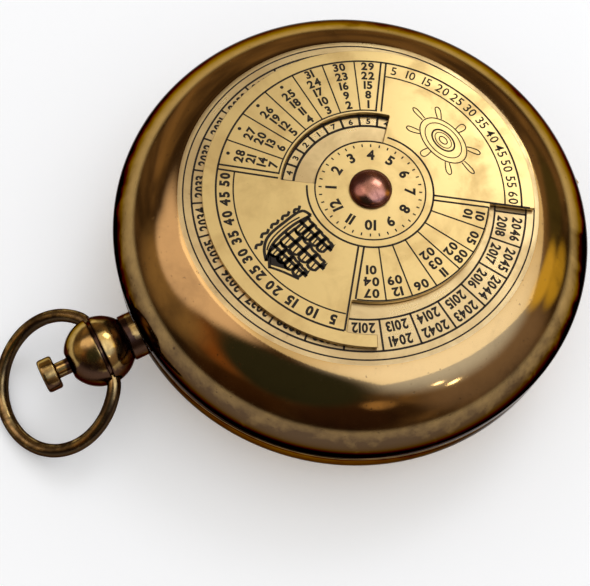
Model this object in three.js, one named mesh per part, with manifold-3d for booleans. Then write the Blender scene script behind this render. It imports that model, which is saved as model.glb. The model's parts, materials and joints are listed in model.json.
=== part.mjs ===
// A pocket compass in a round brass hunter case. A push button in the pendant frees the lid, and a
// cut-out calendar disc turns on the lid's flat top.
// Millimetres, +Z up. The origin is the centre of the flat foot. The pendant points along +Y, and the
// lid's hinge lies along X on the opposite side.

import * as THREE from "three";
import { mergeVertices } from "three/addons/utils/BufferGeometryUtils.js";
import Module from "manifold-3d";

const wasm = await Module();
wasm.setup();

const { sin, cos, sqrt, asin, abs, sign, PI } = Math;
const radians = THREE.MathUtils.degToRad;

// Clearances
const seatGap = 0.3; // a piece and the round seat, hole or edge that it is fixed in
const stackGap = 0.2; // flat faces stacked on each other
const slideGap = 0.2; // a stem, shank or pin in its bore
const discGap = 0.15; // the calendar disc over the lid
const socketGap = 0.1; // a stem or pin in the cap or boss that it is fixed in
const cutPast = 1; // how far a cut runs past the faces that it goes through

// Case
const caseRadius = 25;
const backRoundWidth = 10; // how far the rounded back reaches in to the flat foot
const bandHeight = 2.1; // straight part of the case wall, up to the joint
const bandThickness = 2.3;
const floorThickness = 1.5;
const innerRoundWidth = 4.2; // rounded corner inside the case
const lipHeight = 1.3; // inner lip that the lid closes over
const edgeBreak = 0.15; // small bevel on turned edges

// Lid
const lidWall = 1.1;
const lidHeight = 8.1; // from the joint to the flat top
const lidBandHeight = 1.6; // straight part of the lid's edge, above the joint
const domeWidth = 7.2; // how far the dome reaches in to the flat top
const domeFullness = 1.7; // exponent of the dome's oval: 2 is a true ellipse, less is flatter
const strikeWidth = 6.4; // tab inside the lid that the catch holds
const strikeReach = 1.7; // from the lid's inner wall towards the middle
const strikeThickness = 0.7;

// Hinge
const hingeInset = 0.8; // pin axis inside the case's outline
const hingeLength = 13.2;
const knuckleRadius = 1.15;
const knuckleGap = 0.3; // between the tubes, along the pin
const lidKnuckleLength = 4.1;
const hingePinRadius = 0.35;
const hingeRoom = 0.9; // how far below the pin's axis the case is open behind the hinge

// Calendar disc, turning beside the middle of the lid
const pivotOffset = { x: -0.37, y: -0.83 };
const discRadius = 16.65;
const discThickness = 0.45;
const discStepDepth = 4.55; // how far the edge along the month columns lies inside the rim
const discTabWidth = 1.3; // finger tab at the rim
const windowInner = 5.5; // the curved window that shows the weekdays
const windowWidth = 3.45;
const discAngles = { step: 236.1, notch: 141.8, tab: 152.6, windowStart: -42.6, windowEnd: 56.4 };

// Rivet
const rivetShankRadius = 1.0;
const rivetHeadRadius = 2.15;
const rivetHeadHeight = 0.95;
const rivetTailRadius = 1.6;
const rivetTailHeight = 0.6;
const washerRadius = 2.3;
const washerThickness = 0.4;

// Pendant, button and bow
const pendantStand = 4.1; // middle of the ball from the case's outline
const pendantDrop = 1.4; // button axis below the joint
const ballRadius = 3.55;
const collarRadius = 2.4;
const collarRound = 0.12; // soft outer edge of the collar
const valleyRadius = 2.2; // narrow place between the collar and the ball
const valleyWidth = 0.05;
const landRadius = 1.35; // flat at the ball's outer end
const grooveWidth = 0.36;
const grooveDepth = 0.35;
const chamberRadius = 1.45; // bore for the button's spring
const chamberWall = 1.4; // ball left beyond the spring's bore
const stemRadius = 0.8;
const innerStemRadius = 0.6;
const shoulderRadius = 1.2;
const shoulderWidth = 0.6;
const buttonTravel = 1.0;
const stemShown = 1.3; // bare stem between the ball and the button's head
const capRadius = 1.72;
const capThickness = 1.55;
const capBevel = 0.3;
const capSocketDepth = 1.0;
const bowRadius = 6.85; // to the middle of the wire
const bowWireRadius = 0.68;
const bowFootSpread = 3.5; // where the ring meets the button axis, each side
const bowHoleEnd = 2.35; // bottom of each cross hole, from the button axis
const bowBendAngle = 6; // part of the ring taken by the bend into each foot, in degrees
const bowFloorGap = 0.05; // the hanging bow stops just above the ground
const springWireRadius = 0.15;
const springTurns = 5;

// Springs inside the case
const padThickness = 1.0; // pads inside the band that the springs are screwed to
const padWidth = 4;
const leafThickness = 0.45;
const leafHeight = 2.2;
const leafAngle = 50; // from the screw to the nose or finger
const leafOverhang = 5; // leaf past the screw, in degrees
const leafShoulder = 3; // leaf past the middle of the nose or finger, in degrees
const noseWidth = 2.0;
const noseHeight = 0.7;
const fingerWidth = 1.6;
const fingerGap = 0.45; // end of the finger to the lid's inner wall
const fingerThickness = 0.5;
const slotMargin = 0.9; // bezel cut away on each side of the nose and the finger
const screwHeadRadius = 1.1;
const screwHeadThickness = 0.6;
const screwShankRadius = 0.5;
const screwShankLength = 2.4;
const screwSlot = 0.3;

// Compass
const bowlWall = 0.8;
const bowlFloor = 0.7;
const bowlBevel = 0.8;
const plateThickness = 0.5;
const cardThickness = 0.2;
const spacerWidth = 1.0;
const spacerHeight = 3.3;
const glassThickness = 0.9;
const bezelThickness = 0.9;
const bezelRise = 0.6; // top of the bezel above the case's joint
const bossRadius = 0.9;
const bossFlangeRadius = 1.5;
const bossFlangeThickness = 0.4;
const bossHeight = 0.5; // above the card
const pinRadius = 0.35;
const pinHeight = 2.4; // tip above the card
const pinTaper = 0.9;
const pinTipRadius = 0.05;
const needleTipGap = 3.6; // needle tip to the spacer ring
const needleWidth = 3.2;
const needleThickness = 0.35;
const needleDrop = 0.1; // underside of the needle below the pin's tip
const capRim = 1.6;
const capHub = 0.95;
const capDrop = 0.35; // hub below the needle
const capTop = 0.85; // hub above the needle
const capBoreRadius = 0.6;

// Fineness of the round surfaces
const caseSides = 60;
const dialSides = 48;
const pieceSides = 28;
const smallSides = 20;
const tinySides = 12;

// Heights, stacked from the case's floor
const bowlBottom = floorThickness + stackGap;
const bowlInnerFloor = bowlBottom + bowlFloor;
const plateBottom = bowlInnerFloor + stackGap;
const plateTop = plateBottom + plateThickness;
const cardBottom = plateTop + stackGap;
const cardTop = cardBottom + cardThickness;
const spacerBottom = cardTop + stackGap;
const spacerTop = spacerBottom + spacerHeight;
const glassBottom = spacerTop + stackGap;
const glassTop = glassBottom + glassThickness;
const bezelBottom = glassTop + stackGap;
const bezelTop = bezelBottom + bezelThickness;
const joint = bezelTop - bezelRise;
const bodyTop = joint - seatGap / 2;
const lidBottom = joint + seatGap / 2;
const backRoundHeight = joint - bandHeight;
const lipTop = joint + lipHeight;
const lidBandTop = joint + lidBandHeight;
const lidTop = joint + lidHeight;
const lidCeiling = lidTop - lidWall;
const discBottom = lidTop + discGap;
const discTop = discBottom + discThickness;
const buttonHeight = joint - pendantDrop;
const leafTop = bezelBottom - seatGap;
const leafBottom = leafTop - leafHeight;
const leafMiddle = (leafTop + leafBottom) / 2;
const strikeBottom = lipTop + seatGap;
const strikeTop = strikeBottom + strikeThickness;
const pinTip = cardTop + pinHeight;
const washerTop = lidCeiling - stackGap;
const washerBottom = washerTop - washerThickness;

// Radii, worked inwards from the case's wall
const footRadius = caseRadius - backRoundWidth;
const bandInner = caseRadius - bandThickness;
const innerFloorRadius = bandInner - innerRoundWidth;
const lidInner = caseRadius - lidWall;
const lipOuter = lidInner - seatGap;
const lidFlatRadius = caseRadius - domeWidth;
const padFace = bandInner - padThickness;
const leafOuter = padFace - seatGap;
const leafInner = leafOuter - leafThickness;
const bowlOuter = leafInner - buttonTravel - seatGap;
const bowlInner = bowlOuter - bowlWall;
const dialRadius = bowlInner - seatGap;
const spacerInner = dialRadius - spacerWidth;
const bezelOuter = bandInner - seatGap;
const strikeInner = lidInner - strikeReach;
const noseTip = strikeInner - seatGap;
const screwHeadOuter = leafInner - slideGap;
const screwAngles = [90 + leafAngle, leafAngle - 90]; // catch spring's screw, lift spring's screw
const hingeAxis = -(caseRadius - hingeInset);
const knuckleBore = hingePinRadius + slideGap;
const hingeSeatRadius = knuckleRadius + seatGap;
const hingeSlotLength = hingeLength + 2 * seatGap;

// Edges of the calendar disc
const discStepRadius = discRadius - discStepDepth;
const discTabInner = discRadius - discTabWidth;
const windowOuter = windowInner + windowWidth;

// Reach of the button's pieces along +Y
const collarStart = caseRadius - cutPast;
const pendantReach = caseRadius + pendantStand;
const ballEnd = pendantReach + sqrt(ballRadius ** 2 - landRadius ** 2);
const capInner = ballEnd + stemShown;
const capOuter = capInner + capThickness;
const chamberEnd = ballEnd - chamberWall;
const stemEnd = leafOuter + seatGap;
const shoulderOuter = chamberEnd - seatGap;
const shoulderInner = shoulderOuter - shoulderWidth;
const bowPinEnd = bowHoleEnd + seatGap;

// Finishes
const polishedBrass = { color: 0xc9a35a, roughness: 0.16, metalness: 1 };
const satinBrass = { color: 0xd8b56c, roughness: 0.32, metalness: 1 };
const agedBrass = { color: 0x8a6a34, roughness: 0.35, metalness: 1 };
const copper = { color: 0x6d3326, roughness: 0.3, metalness: 1 };
const steel = { color: 0xa8adb3, roughness: 0.3, metalness: 1 };
const bluedSteel = { color: 0x2b3a63, roughness: 0.3, metalness: 1 };
const cardPaper = { color: 0xefe9d8, roughness: 0.7, metalness: 0 };
const clearGlass = { color: 0xdfeeee, roughness: 0.05, metalness: 0 };

// Joining and cutting

function solidOf(geometry) {
  const bare = geometry.clone();
  bare.deleteAttribute("normal");
  bare.deleteAttribute("uv");
  const joined = mergeVertices(bare, 1e-4);
  const corners = joined.index.array;
  const kept = [];
  for (let i = 0; i < corners.length; i += 3) {
    const [a, b, c] = corners.slice(i, i + 3);
    if (a !== b && b !== c && c !== a) {
      kept.push(a, b, c);
    }
  }
  return new wasm.Manifold(new wasm.Mesh({
    numProp: 3,
    vertProperties: new Float32Array(joined.attributes.position.array),
    triVerts: new Uint32Array(kept),
  }));
}

function geometryOf(solid) {
  const { vertProperties, triVerts } = solid.getMesh();
  const geometry = new THREE.BufferGeometry();
  geometry.setAttribute("position", new THREE.BufferAttribute(vertProperties, 3));
  geometry.setIndex(new THREE.BufferAttribute(triVerts, 1));
  geometry.computeVertexNormals();
  return geometry;
}

// The base with some geometries added, and then some cut away.
function carve(base, added, cuts) {
  let solid = solidOf(base);
  for (const extra of added) {
    solid = solid.add(solidOf(extra));
  }
  for (const cut of cuts) {
    solid = solid.subtract(solidOf(cut));
  }
  return geometryOf(solid);
}

// Basic forms

// A profile of [radius, height] points, anticlockwise, turned round Z.
function turned(profile, sides) {
  const points = profile.map(([r, z]) => new THREE.Vector2(r, z));
  return new THREE.LatheGeometry(points, sides).rotateX(PI / 2);
}

// The same, turned round the +Y axis: the points are [radius, y].
function turnedAlongY(profile, sides) {
  return turned(profile, sides).rotateX(-PI / 2);
}

function ring(inner, outer, bottom, top, sides) {
  return turned([[inner, bottom], [outer, bottom], [outer, top], [inner, top], [inner, bottom]], sides);
}

function box(x0, x1, y0, y1, z0, z1) {
  return new THREE.BoxGeometry(x1 - x0, y1 - y0, z1 - z0)
    .translate((x0 + x1) / 2, (y0 + y1) / 2, (z0 + z1) / 2);
}

// A round bar from one point to another along X, Y or Z.
function bar(radius, from, to, sides) {
  const start = new THREE.Vector3(...from);
  const run = new THREE.Vector3(...to).sub(start);
  const geometry = new THREE.CylinderGeometry(radius, radius, run.length(), sides);
  const turn = new THREE.Quaternion().setFromUnitVectors(new THREE.Vector3(0, 1, 0), run.clone().normalize());
  return geometry.applyQuaternion(turn).translate(...start.addScaledVector(run, 0.5).toArray());
}

// Quarter of an oval in a turned profile. The middle is [r, z], and the oval runs from angle a to b.
function ovalArc(r, z, width, height, a, b, steps, fullness = 2) {
  const power = 2 / fullness;
  return Array.from({ length: steps + 1 }, (_, i) => {
    const t = radians(a + ((b - a) * i) / steps);
    const across = abs(cos(t)) < 1e-9 ? 0 : sign(cos(t)) * abs(cos(t)) ** power;
    const up = abs(sin(t)) < 1e-9 ? 0 : sign(sin(t)) * abs(sin(t)) ** power;
    return [r + width * across, z + height * up];
  });
}

// A flat arc strip between two radii, standing on Z from bottom to top.
function arcStrip(inner, outer, fromDegrees, toDegrees, bottom, top, steps) {
  const shape = new THREE.Shape();
  shape.absarc(0, 0, outer, radians(fromDegrees), radians(toDegrees), false);
  shape.absarc(0, 0, inner, radians(toDegrees), radians(fromDegrees), true);
  shape.closePath();
  return new THREE.ExtrudeGeometry(shape, { depth: top - bottom, bevelEnabled: false, curveSegments: steps })
    .translate(0, 0, bottom);
}

// An outline of [y, z] points given a width along X, centred on x = 0.
function sidePlate(outline, width) {
  const shape = new THREE.Shape(outline.map(([y, z]) => new THREE.Vector2(y, z)));
  return new THREE.ExtrudeGeometry(shape, { depth: width, bevelEnabled: false })
    .translate(0, 0, -width / 2)
    .applyMatrix4(new THREE.Matrix4().set(0, 0, 1, 0, 1, 0, 0, 0, 0, 1, 0, 0, 0, 0, 0, 1));
}

// A round wire along a curve.
function wire(curve, radius, sides, steps) {
  const section = new THREE.Shape(Array.from({ length: sides }, (_, i) => {
    const t = (2 * PI * i) / sides;
    return new THREE.Vector2(radius * cos(t), radius * sin(t));
  }));
  return new THREE.ExtrudeGeometry(section, { extrudePath: curve, steps, bevelEnabled: false });
}

function place(name, geometry, finish, parent) {
  const piece = new THREE.Mesh(geometry, new THREE.MeshStandardMaterial(finish));
  piece.name = name;
  parent.add(piece);
  return piece;
}

// Case and hinge

// The round seat that the hinge tubes lie in, cut from the case and from the lid alike.
function hingeSeat() {
  const half = hingeSlotLength / 2;
  return bar(hingeSeatRadius, [-half, hingeAxis, joint], [half, hingeAxis, joint], pieceSides);
}

function caseBody() {
  const back = ovalArc(footRadius, backRoundHeight, backRoundWidth, backRoundHeight, -90, 0, 10);
  const innerRoundHeight = backRoundHeight - floorThickness;
  const inside = ovalArc(innerFloorRadius, backRoundHeight, innerRoundWidth, innerRoundHeight, 0, -90, 6);
  const shell = turned([
    [0, 0],
    ...back,
    [caseRadius, bodyTop - edgeBreak],
    [caseRadius - edgeBreak, bodyTop],
    [lipOuter, bodyTop],
    [lipOuter, lipTop - edgeBreak],
    [lipOuter - edgeBreak, lipTop],
    [bandInner, lipTop],
    ...inside,
    [0, floorThickness],
  ], caseSides);
  const padOuter = bandInner + bandThickness / 2;
  const screwHoleEnd = screwHeadOuter + screwShankLength + seatGap;
  const pads = screwAngles.map((angle) =>
    box(padFace, padOuter, -padWidth / 2, padWidth / 2, leafBottom, leafTop).rotateZ(radians(angle)));
  const screwHoles = screwAngles.map((angle) =>
    bar(screwShankRadius + slideGap, [leafInner, 0, leafMiddle], [screwHoleEnd, 0, leafMiddle], tinySides)
      .rotateZ(radians(angle)));
  const half = hingeSlotLength / 2;
  const hingeOuter = -caseRadius - cutPast;
  const hingeGap = box(-half, half, hingeOuter, -innerFloorRadius, joint - hingeRoom, lipTop + cutPast);
  const stemHole = bar(
    innerStemRadius + slideGap,
    [0, bandInner - cutPast, buttonHeight],
    [0, caseRadius + cutPast, buttonHeight],
    smallSides,
  );
  return carve(shell, pads, [...screwHoles, hingeGap, hingeSeat(), stemHole]);
}

function lidShell() {
  const innerFlatRadius = lidFlatRadius - lidWall / 2;
  const ceiling = ovalArc(innerFlatRadius, lidBandTop, lidInner - innerFlatRadius, lidCeiling - lidBandTop,
    90, 0, 8, domeFullness);
  const dome = ovalArc(lidFlatRadius, lidBandTop, domeWidth, lidTop - lidBandTop, 0, 90, 12, domeFullness);
  const shell = turned([
    [0, lidCeiling],
    ...ceiling,
    [lidInner, lidBottom],
    [caseRadius - edgeBreak, lidBottom],
    [caseRadius, lidBottom + edgeBreak],
    ...dome,
    [0, lidTop],
  ], caseSides);
  const half = strikeWidth / 2;
  const strike = box(-half, half, strikeInner, lidInner + lidWall / 2, strikeBottom, strikeTop);
  const rivetHole = bar(
    rivetShankRadius + slideGap,
    [pivotOffset.x, pivotOffset.y, lidCeiling - cutPast],
    [pivotOffset.x, pivotOffset.y, lidTop + cutPast],
    smallSides,
  );
  return carve(shell, [strike], [hingeSeat(), rivetHole]);
}

function knuckle(from, to) {
  const tube = ring(knuckleBore, knuckleRadius, from, to, smallSides);
  return tube.rotateY(PI / 2).translate(0, hingeAxis, joint);
}

// Calendar disc, flat on Z = 0, drawn round its own pivot

function calendarDisc() {
  const { step, notch, tab, windowStart, windowEnd } = discAngles;
  const at = (radius, degrees) => [radius * cos(radians(degrees)), radius * sin(radians(degrees))];
  const outline = new THREE.Shape();
  outline.moveTo(...at(discStepRadius, step));
  outline.lineTo(...at(discRadius, step));
  outline.absarc(0, 0, discRadius, radians(step), radians(tab + 360), false);
  outline.lineTo(...at(discTabInner, tab));
  outline.absarc(0, 0, discTabInner, radians(tab), radians(notch), true);
  outline.lineTo(...at(discStepRadius, notch));
  outline.absarc(0, 0, discStepRadius, radians(notch), radians(step), false);
  const opening = new THREE.Path();
  opening.absarc(0, 0, windowOuter, radians(windowStart), radians(windowEnd), false);
  opening.absarc(0, 0, windowInner, radians(windowEnd), radians(windowStart), true);
  opening.closePath();
  const hole = new THREE.Path();
  hole.absarc(0, 0, rivetShankRadius + slideGap, 0, 2 * PI, true);
  outline.holes.push(opening, hole);
  return new THREE.ExtrudeGeometry(outline, { depth: discThickness, bevelEnabled: false, curveSegments: 36 });
}

// The rivet's profile starts at the tail, inside the lid, and ends on top of its round head.
function calendarRivet() {
  const tailTop = washerBottom - stackGap;
  const headBottom = discTop + discGap;
  const head = ovalArc(0, headBottom, rivetHeadRadius, rivetHeadHeight, 0, 90, 8);
  return turned([
    [0, tailTop - rivetTailHeight],
    [rivetTailRadius - edgeBreak, tailTop - rivetTailHeight],
    [rivetTailRadius, tailTop - rivetTailHeight + edgeBreak],
    [rivetTailRadius, tailTop],
    [rivetShankRadius, tailTop],
    [rivetShankRadius, headBottom],
    ...head,
  ], pieceSides);
}

// Pendant, button and bow

function pendantBody() {
  const spherePoint = (y) => [sqrt(ballRadius ** 2 - (y - pendantReach) ** 2), y];
  const halfGroove = grooveWidth / 2;
  const grooveBottom = ballRadius - grooveDepth;
  const valley = pendantReach - sqrt(ballRadius ** 2 - valleyRadius ** 2);
  const ballSteps = 7;
  const sweep = (from, to) => Array.from({ length: ballSteps + 1 }, (_, i) => {
    const start = asin((from - pendantReach) / ballRadius);
    const end = asin((to - pendantReach) / ballRadius);
    return spherePoint(pendantReach + ballRadius * sin(start + ((end - start) * i) / ballSteps));
  });
  const collarEnd = valley - valleyWidth;
  const turnedBody = turnedAlongY([
    [chamberRadius, collarStart],
    [collarRadius, collarStart],
    [collarRadius, collarEnd - collarRound],
    [collarRadius - collarRound / 2, collarEnd],
    [valleyRadius, collarEnd],
    ...sweep(valley, pendantReach - halfGroove),
    [grooveBottom, pendantReach - halfGroove],
    [grooveBottom, pendantReach + halfGroove],
    ...sweep(pendantReach + halfGroove, ballEnd),
    [stemRadius + slideGap, ballEnd],
    [stemRadius + slideGap, chamberEnd],
    [chamberRadius, chamberEnd],
    [chamberRadius, collarStart],
  ], pieceSides);
  const caseRoom = ring(0, caseRadius + seatGap, -2 * ballRadius, 2 * ballRadius, caseSides);
  const holes = [-1, 1].map((side) => bar(
    bowWireRadius + slideGap,
    [side * bowHoleEnd, pendantReach, 0],
    [side * (ballRadius + cutPast), pendantReach, 0],
    smallSides,
  ));
  return carve(turnedBody, [], [caseRoom, ...holes]);
}

function buttonCap() {
  const socket = stemRadius + socketGap;
  return turnedAlongY([
    [0, capInner + capSocketDepth],
    [socket, capInner + capSocketDepth],
    [socket, capInner],
    [capRadius - capBevel, capInner],
    [capRadius, capInner + capBevel],
    [capRadius, capOuter - capBevel],
    [capRadius - capBevel, capOuter],
    [0, capOuter],
  ], pieceSides);
}

function buttonStem() {
  return turnedAlongY([
    [0, stemEnd],
    [innerStemRadius, stemEnd],
    [innerStemRadius, shoulderInner],
    [shoulderRadius, shoulderInner],
    [shoulderRadius, shoulderOuter],
    [stemRadius, shoulderOuter],
    [stemRadius, capInner + capSocketDepth - socketGap],
    [0, capInner + capSocketDepth - socketGap],
  ], smallSides);
}

// The spring's wire runs round the stem between the case's wall and the stem's shoulder.
function buttonSpring() {
  const start = caseRadius + seatGap + springWireRadius;
  const end = shoulderInner - stackGap - springWireRadius;
  const coilRadius = (chamberRadius + innerStemRadius) / 2;
  class Coil extends THREE.Curve {
    getPoint(t, target = new THREE.Vector3()) {
      const turn = 2 * PI * springTurns * t;
      return target.set(coilRadius * cos(turn), start + (end - start) * t, coilRadius * sin(turn));
    }
  }
  const coil = new Coil();
  const points = coil.getPoints(springTurns * 60);
  let selfGap = Infinity;
  points.forEach((point, i) => {
    for (const other of points.slice(i + 30)) {
      selfGap = Math.min(selfGap, point.distanceTo(other) - 2 * springWireRadius);
    }
  });
  console.log(`button spring: least gap between its turns ${selfGap.toFixed(2)} mm`);
  return wire(coil, springWireRadius, 5, springTurns * 8);
}

// The bow lies in its own XY plane: X along the ball's cross hole, +Y towards the ring's far side.
const bowCentre = sqrt(bowRadius ** 2 - bowFootSpread ** 2);
const bowDrop = asin((buttonHeight - bowWireRadius - bowFloorGap) / (bowCentre + bowRadius));

function bowRing() {
  const firstAngle = asin(-bowCentre / bowRadius) + radians(bowBendAngle);
  const lastAngle = PI - firstAngle;
  const arcSteps = 14;
  const arc = Array.from({ length: arcSteps + 1 }, (_, i) => {
    const t = firstAngle + ((lastAngle - firstAngle) * i) / arcSteps;
    return new THREE.Vector3(bowRadius * cos(t), bowCentre + bowRadius * sin(t), 0);
  });
  const middle = (bowPinEnd + bowFootSpread) / 2;
  const path = new THREE.CatmullRomCurve3([
    new THREE.Vector3(bowPinEnd, 0, 0),
    new THREE.Vector3(middle, 0, 0),
    ...arc,
    new THREE.Vector3(-middle, 0, 0),
    new THREE.Vector3(-bowPinEnd, 0, 0),
  ], false, "centripetal");
  return wire(path, bowWireRadius, 10, 60);
}

// Springs and screws inside the case, drawn with the nose or finger on +Y and the screw to its left

function leafWith(riser) {
  const end = 90 + leafAngle + leafOverhang;
  const leaf = arcStrip(leafInner, leafOuter, 90 - leafShoulder, end, leafBottom, leafTop, 16);
  const screwHole = bar(
    screwShankRadius + slideGap,
    [leafInner - cutPast, 0, leafMiddle],
    [leafOuter + cutPast, 0, leafMiddle],
    tinySides,
  ).rotateZ(radians(90 + leafAngle));
  return carve(leaf, [riser], [screwHole]);
}

function catchSpring() {
  const noseBottom = strikeTop + seatGap;
  return leafWith(sidePlate([
    [leafInner, leafMiddle],
    [leafOuter, leafMiddle],
    [leafOuter, noseBottom],
    [noseTip, noseBottom],
    [leafOuter, noseBottom + noseHeight],
    [leafInner, noseBottom + noseHeight],
  ], noseWidth));
}

function liftSpring() {
  const fingerBottom = lipTop + seatGap;
  const fingerEnd = lidInner - fingerGap;
  return leafWith(sidePlate([
    [leafInner, leafMiddle],
    [leafOuter, leafMiddle],
    [leafOuter, fingerBottom],
    [fingerEnd, fingerBottom],
    [fingerEnd, fingerBottom + fingerThickness],
    [leafInner, fingerBottom + fingerThickness],
  ], fingerWidth));
}

// Turned along +X from its slotted head, which faces the middle of the case.
function springScrew() {
  const headInner = screwHeadOuter - screwHeadThickness;
  const blank = turned([
    [0, headInner],
    [screwHeadRadius, headInner],
    [screwHeadRadius, screwHeadOuter],
    [screwShankRadius, screwHeadOuter],
    [screwShankRadius, screwHeadOuter + screwShankLength],
    [0, screwHeadOuter + screwShankLength],
  ], smallSides).rotateY(PI / 2);
  const across = screwHeadRadius + cutPast;
  const half = screwSlot / 2;
  const slot = box(headInner - cutPast, headInner + screwSlot, -across, across, -half, half);
  return carve(blank, [], [slot]);
}

// Compass

function compassBowl() {
  return turned([
    [0, bowlBottom],
    [bowlOuter - bowlBevel, bowlBottom],
    [bowlOuter, bowlBottom + bowlBevel],
    [bowlOuter, glassTop],
    [bowlInner, glassTop],
    [bowlInner, bowlInnerFloor],
    [0, bowlInnerFloor],
  ], dialSides);
}

function pivotBoss() {
  const flangeTop = cardTop + stackGap + bossFlangeThickness;
  const top = flangeTop + bossHeight;
  const bore = pinRadius + socketGap;
  return turned([
    [bore, plateBottom + stackGap],
    [bossRadius, plateBottom + stackGap],
    [bossRadius, cardTop + stackGap],
    [bossFlangeRadius, cardTop + stackGap],
    [bossFlangeRadius, flangeTop],
    [bossRadius, flangeTop],
    [bossRadius - edgeBreak, top],
    [bore, top],
    [bore, plateBottom + stackGap],
  ], smallSides);
}

function pivotPin() {
  return turned([
    [0, plateBottom + stackGap],
    [pinRadius, plateBottom + stackGap],
    [pinRadius, pinTip - pinTaper],
    [pinTipRadius, pinTip],
    [0, pinTip],
  ], tinySides);
}

const needleBottom = pinTip - needleDrop;
const needleTop = needleBottom + needleThickness;
const needleHalfLength = spacerInner - needleTipGap;

function needleBlade() {
  const half = needleWidth / 2;
  const outline = new THREE.Shape([
    new THREE.Vector2(half, 0),
    new THREE.Vector2(0, needleHalfLength),
    new THREE.Vector2(-half, 0),
    new THREE.Vector2(0, -needleHalfLength),
  ]);
  const hole = new THREE.Path();
  hole.absarc(0, 0, capHub + slideGap, 0, 2 * PI, true);
  outline.holes.push(hole);
  const settings = { depth: needleThickness, bevelEnabled: false, curveSegments: 10 };
  return new THREE.ExtrudeGeometry(outline, settings);
}

// The cap hangs on the pin's tip by a cone bored up into its hub, and the needle hangs on its rim.
function needleCap() {
  const coneTop = pinTip + seatGap;
  const rimBottom = needleTop + socketGap;
  const hubBottom = needleBottom - capDrop;
  return turned([
    [capBoreRadius, hubBottom],
    [capHub, hubBottom],
    [capHub, rimBottom],
    [capRim - edgeBreak, rimBottom],
    [capRim - edgeBreak, rimBottom + needleThickness / 2],
    [capHub, rimBottom + needleThickness],
    [capHub - edgeBreak, needleTop + capTop],
    [0, needleTop + capTop],
    [0, coneTop],
    [capBoreRadius, hubBottom],
  ], smallSides);
}

function bezelRing() {
  const frontHalf = noseWidth / 2 + slotMargin;
  const backHalf = fingerWidth / 2 + slotMargin;
  const slotBottom = bezelBottom - cutPast;
  const slotTop = bezelTop + cutPast;
  const slotOuter = bezelOuter + cutPast;
  const blank = turned([
    [spacerInner + edgeBreak, bezelBottom],
    [bezelOuter, bezelBottom],
    [bezelOuter, bezelTop - edgeBreak],
    [bezelOuter - edgeBreak, bezelTop],
    [spacerInner + bezelThickness, bezelTop],
    [spacerInner, bezelBottom + bezelThickness / 3],
    [spacerInner + edgeBreak, bezelBottom],
  ], caseSides);
  return carve(blank, [], [
    box(-frontHalf, frontHalf, bowlOuter, slotOuter, slotBottom, slotTop),
    box(-backHalf, backHalf, -slotOuter, -bowlOuter, slotBottom, slotTop),
  ]);
}

// Assembly

const compass = new THREE.Group();

place("case_body", caseBody(), polishedBrass, compass);
place("lid", lidShell(), polishedBrass, compass);

const lidKnuckleHalf = lidKnuckleLength / 2;
const hingeHalf = hingeLength / 2;
place("hinge_knuckle_left", knuckle(-hingeHalf, -lidKnuckleHalf - knuckleGap), agedBrass, compass);
place("hinge_knuckle_right", knuckle(lidKnuckleHalf + knuckleGap, hingeHalf), agedBrass, compass);
place("hinge_knuckle_lid", knuckle(-lidKnuckleHalf, lidKnuckleHalf), agedBrass, compass);
place("hinge_pin", bar(hingePinRadius, [-hingeHalf, 0, 0], [hingeHalf, 0, 0], tinySides), steel, compass)
  .position.set(0, hingeAxis, joint);

const calendar = new THREE.Group();
calendar.position.set(pivotOffset.x, pivotOffset.y, 0);
compass.add(calendar);
place("calendar_disc", calendarDisc(), satinBrass, calendar).position.z = discBottom;
place("calendar_rivet", calendarRivet(), copper, calendar);
place("rivet_washer",
  ring(rivetShankRadius + slideGap, washerRadius, washerBottom, washerTop, pieceSides),
  satinBrass, calendar);

const button = new THREE.Group();
button.position.z = buttonHeight;
compass.add(button);
place("pendant", pendantBody(), agedBrass, button);
place("button_cap", buttonCap(), agedBrass, button);
place("button_stem", buttonStem(), agedBrass, button);
place("button_spring", buttonSpring(), steel, button);

const bow = place("bow", bowRing(), agedBrass, button);
bow.position.y = pendantReach;
bow.rotation.x = -bowDrop;

place("catch_spring", catchSpring(), steel, compass);
place("lift_spring", liftSpring(), steel, compass).rotation.z = PI;
["catch_screw", "lift_screw"].forEach((name, i) => {
  const screw = place(name, springScrew(), steel, compass);
  screw.rotation.z = radians(screwAngles[i]);
  screw.position.z = leafMiddle;
});

place("compass_bowl", compassBowl(), satinBrass, compass);
const dialHole = bossRadius + slideGap;
place("dial_plate", ring(dialHole, dialRadius, plateBottom, plateTop, dialSides), satinBrass, compass);
place("dial_card", ring(dialHole, dialRadius, cardBottom, cardTop, dialSides), cardPaper, compass);
place("pivot_boss", pivotBoss(), satinBrass, compass);
place("pivot_pin", pivotPin(), steel, compass);
place("needle", needleBlade(), bluedSteel, compass).position.z = needleBottom;
place("needle_cap", needleCap(), satinBrass, compass);
place("spacer_ring", ring(spacerInner, dialRadius, spacerBottom, spacerTop, dialSides), satinBrass, compass);
place("glass", turned([
  [0, glassBottom],
  [dialRadius - edgeBreak, glassBottom],
  [dialRadius, glassBottom + edgeBreak],
  [dialRadius, glassTop - edgeBreak],
  [dialRadius - edgeBreak, glassTop],
  [0, glassTop],
], dialSides), clearGlass, compass);
place("bezel", bezelRing(), polishedBrass, compass);

export default compass;
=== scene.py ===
import json
import math

import bmesh
import bpy
import numpy as np
from mathutils import Matrix, Vector
from mathutils.geometry import tessellate_polygon


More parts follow.
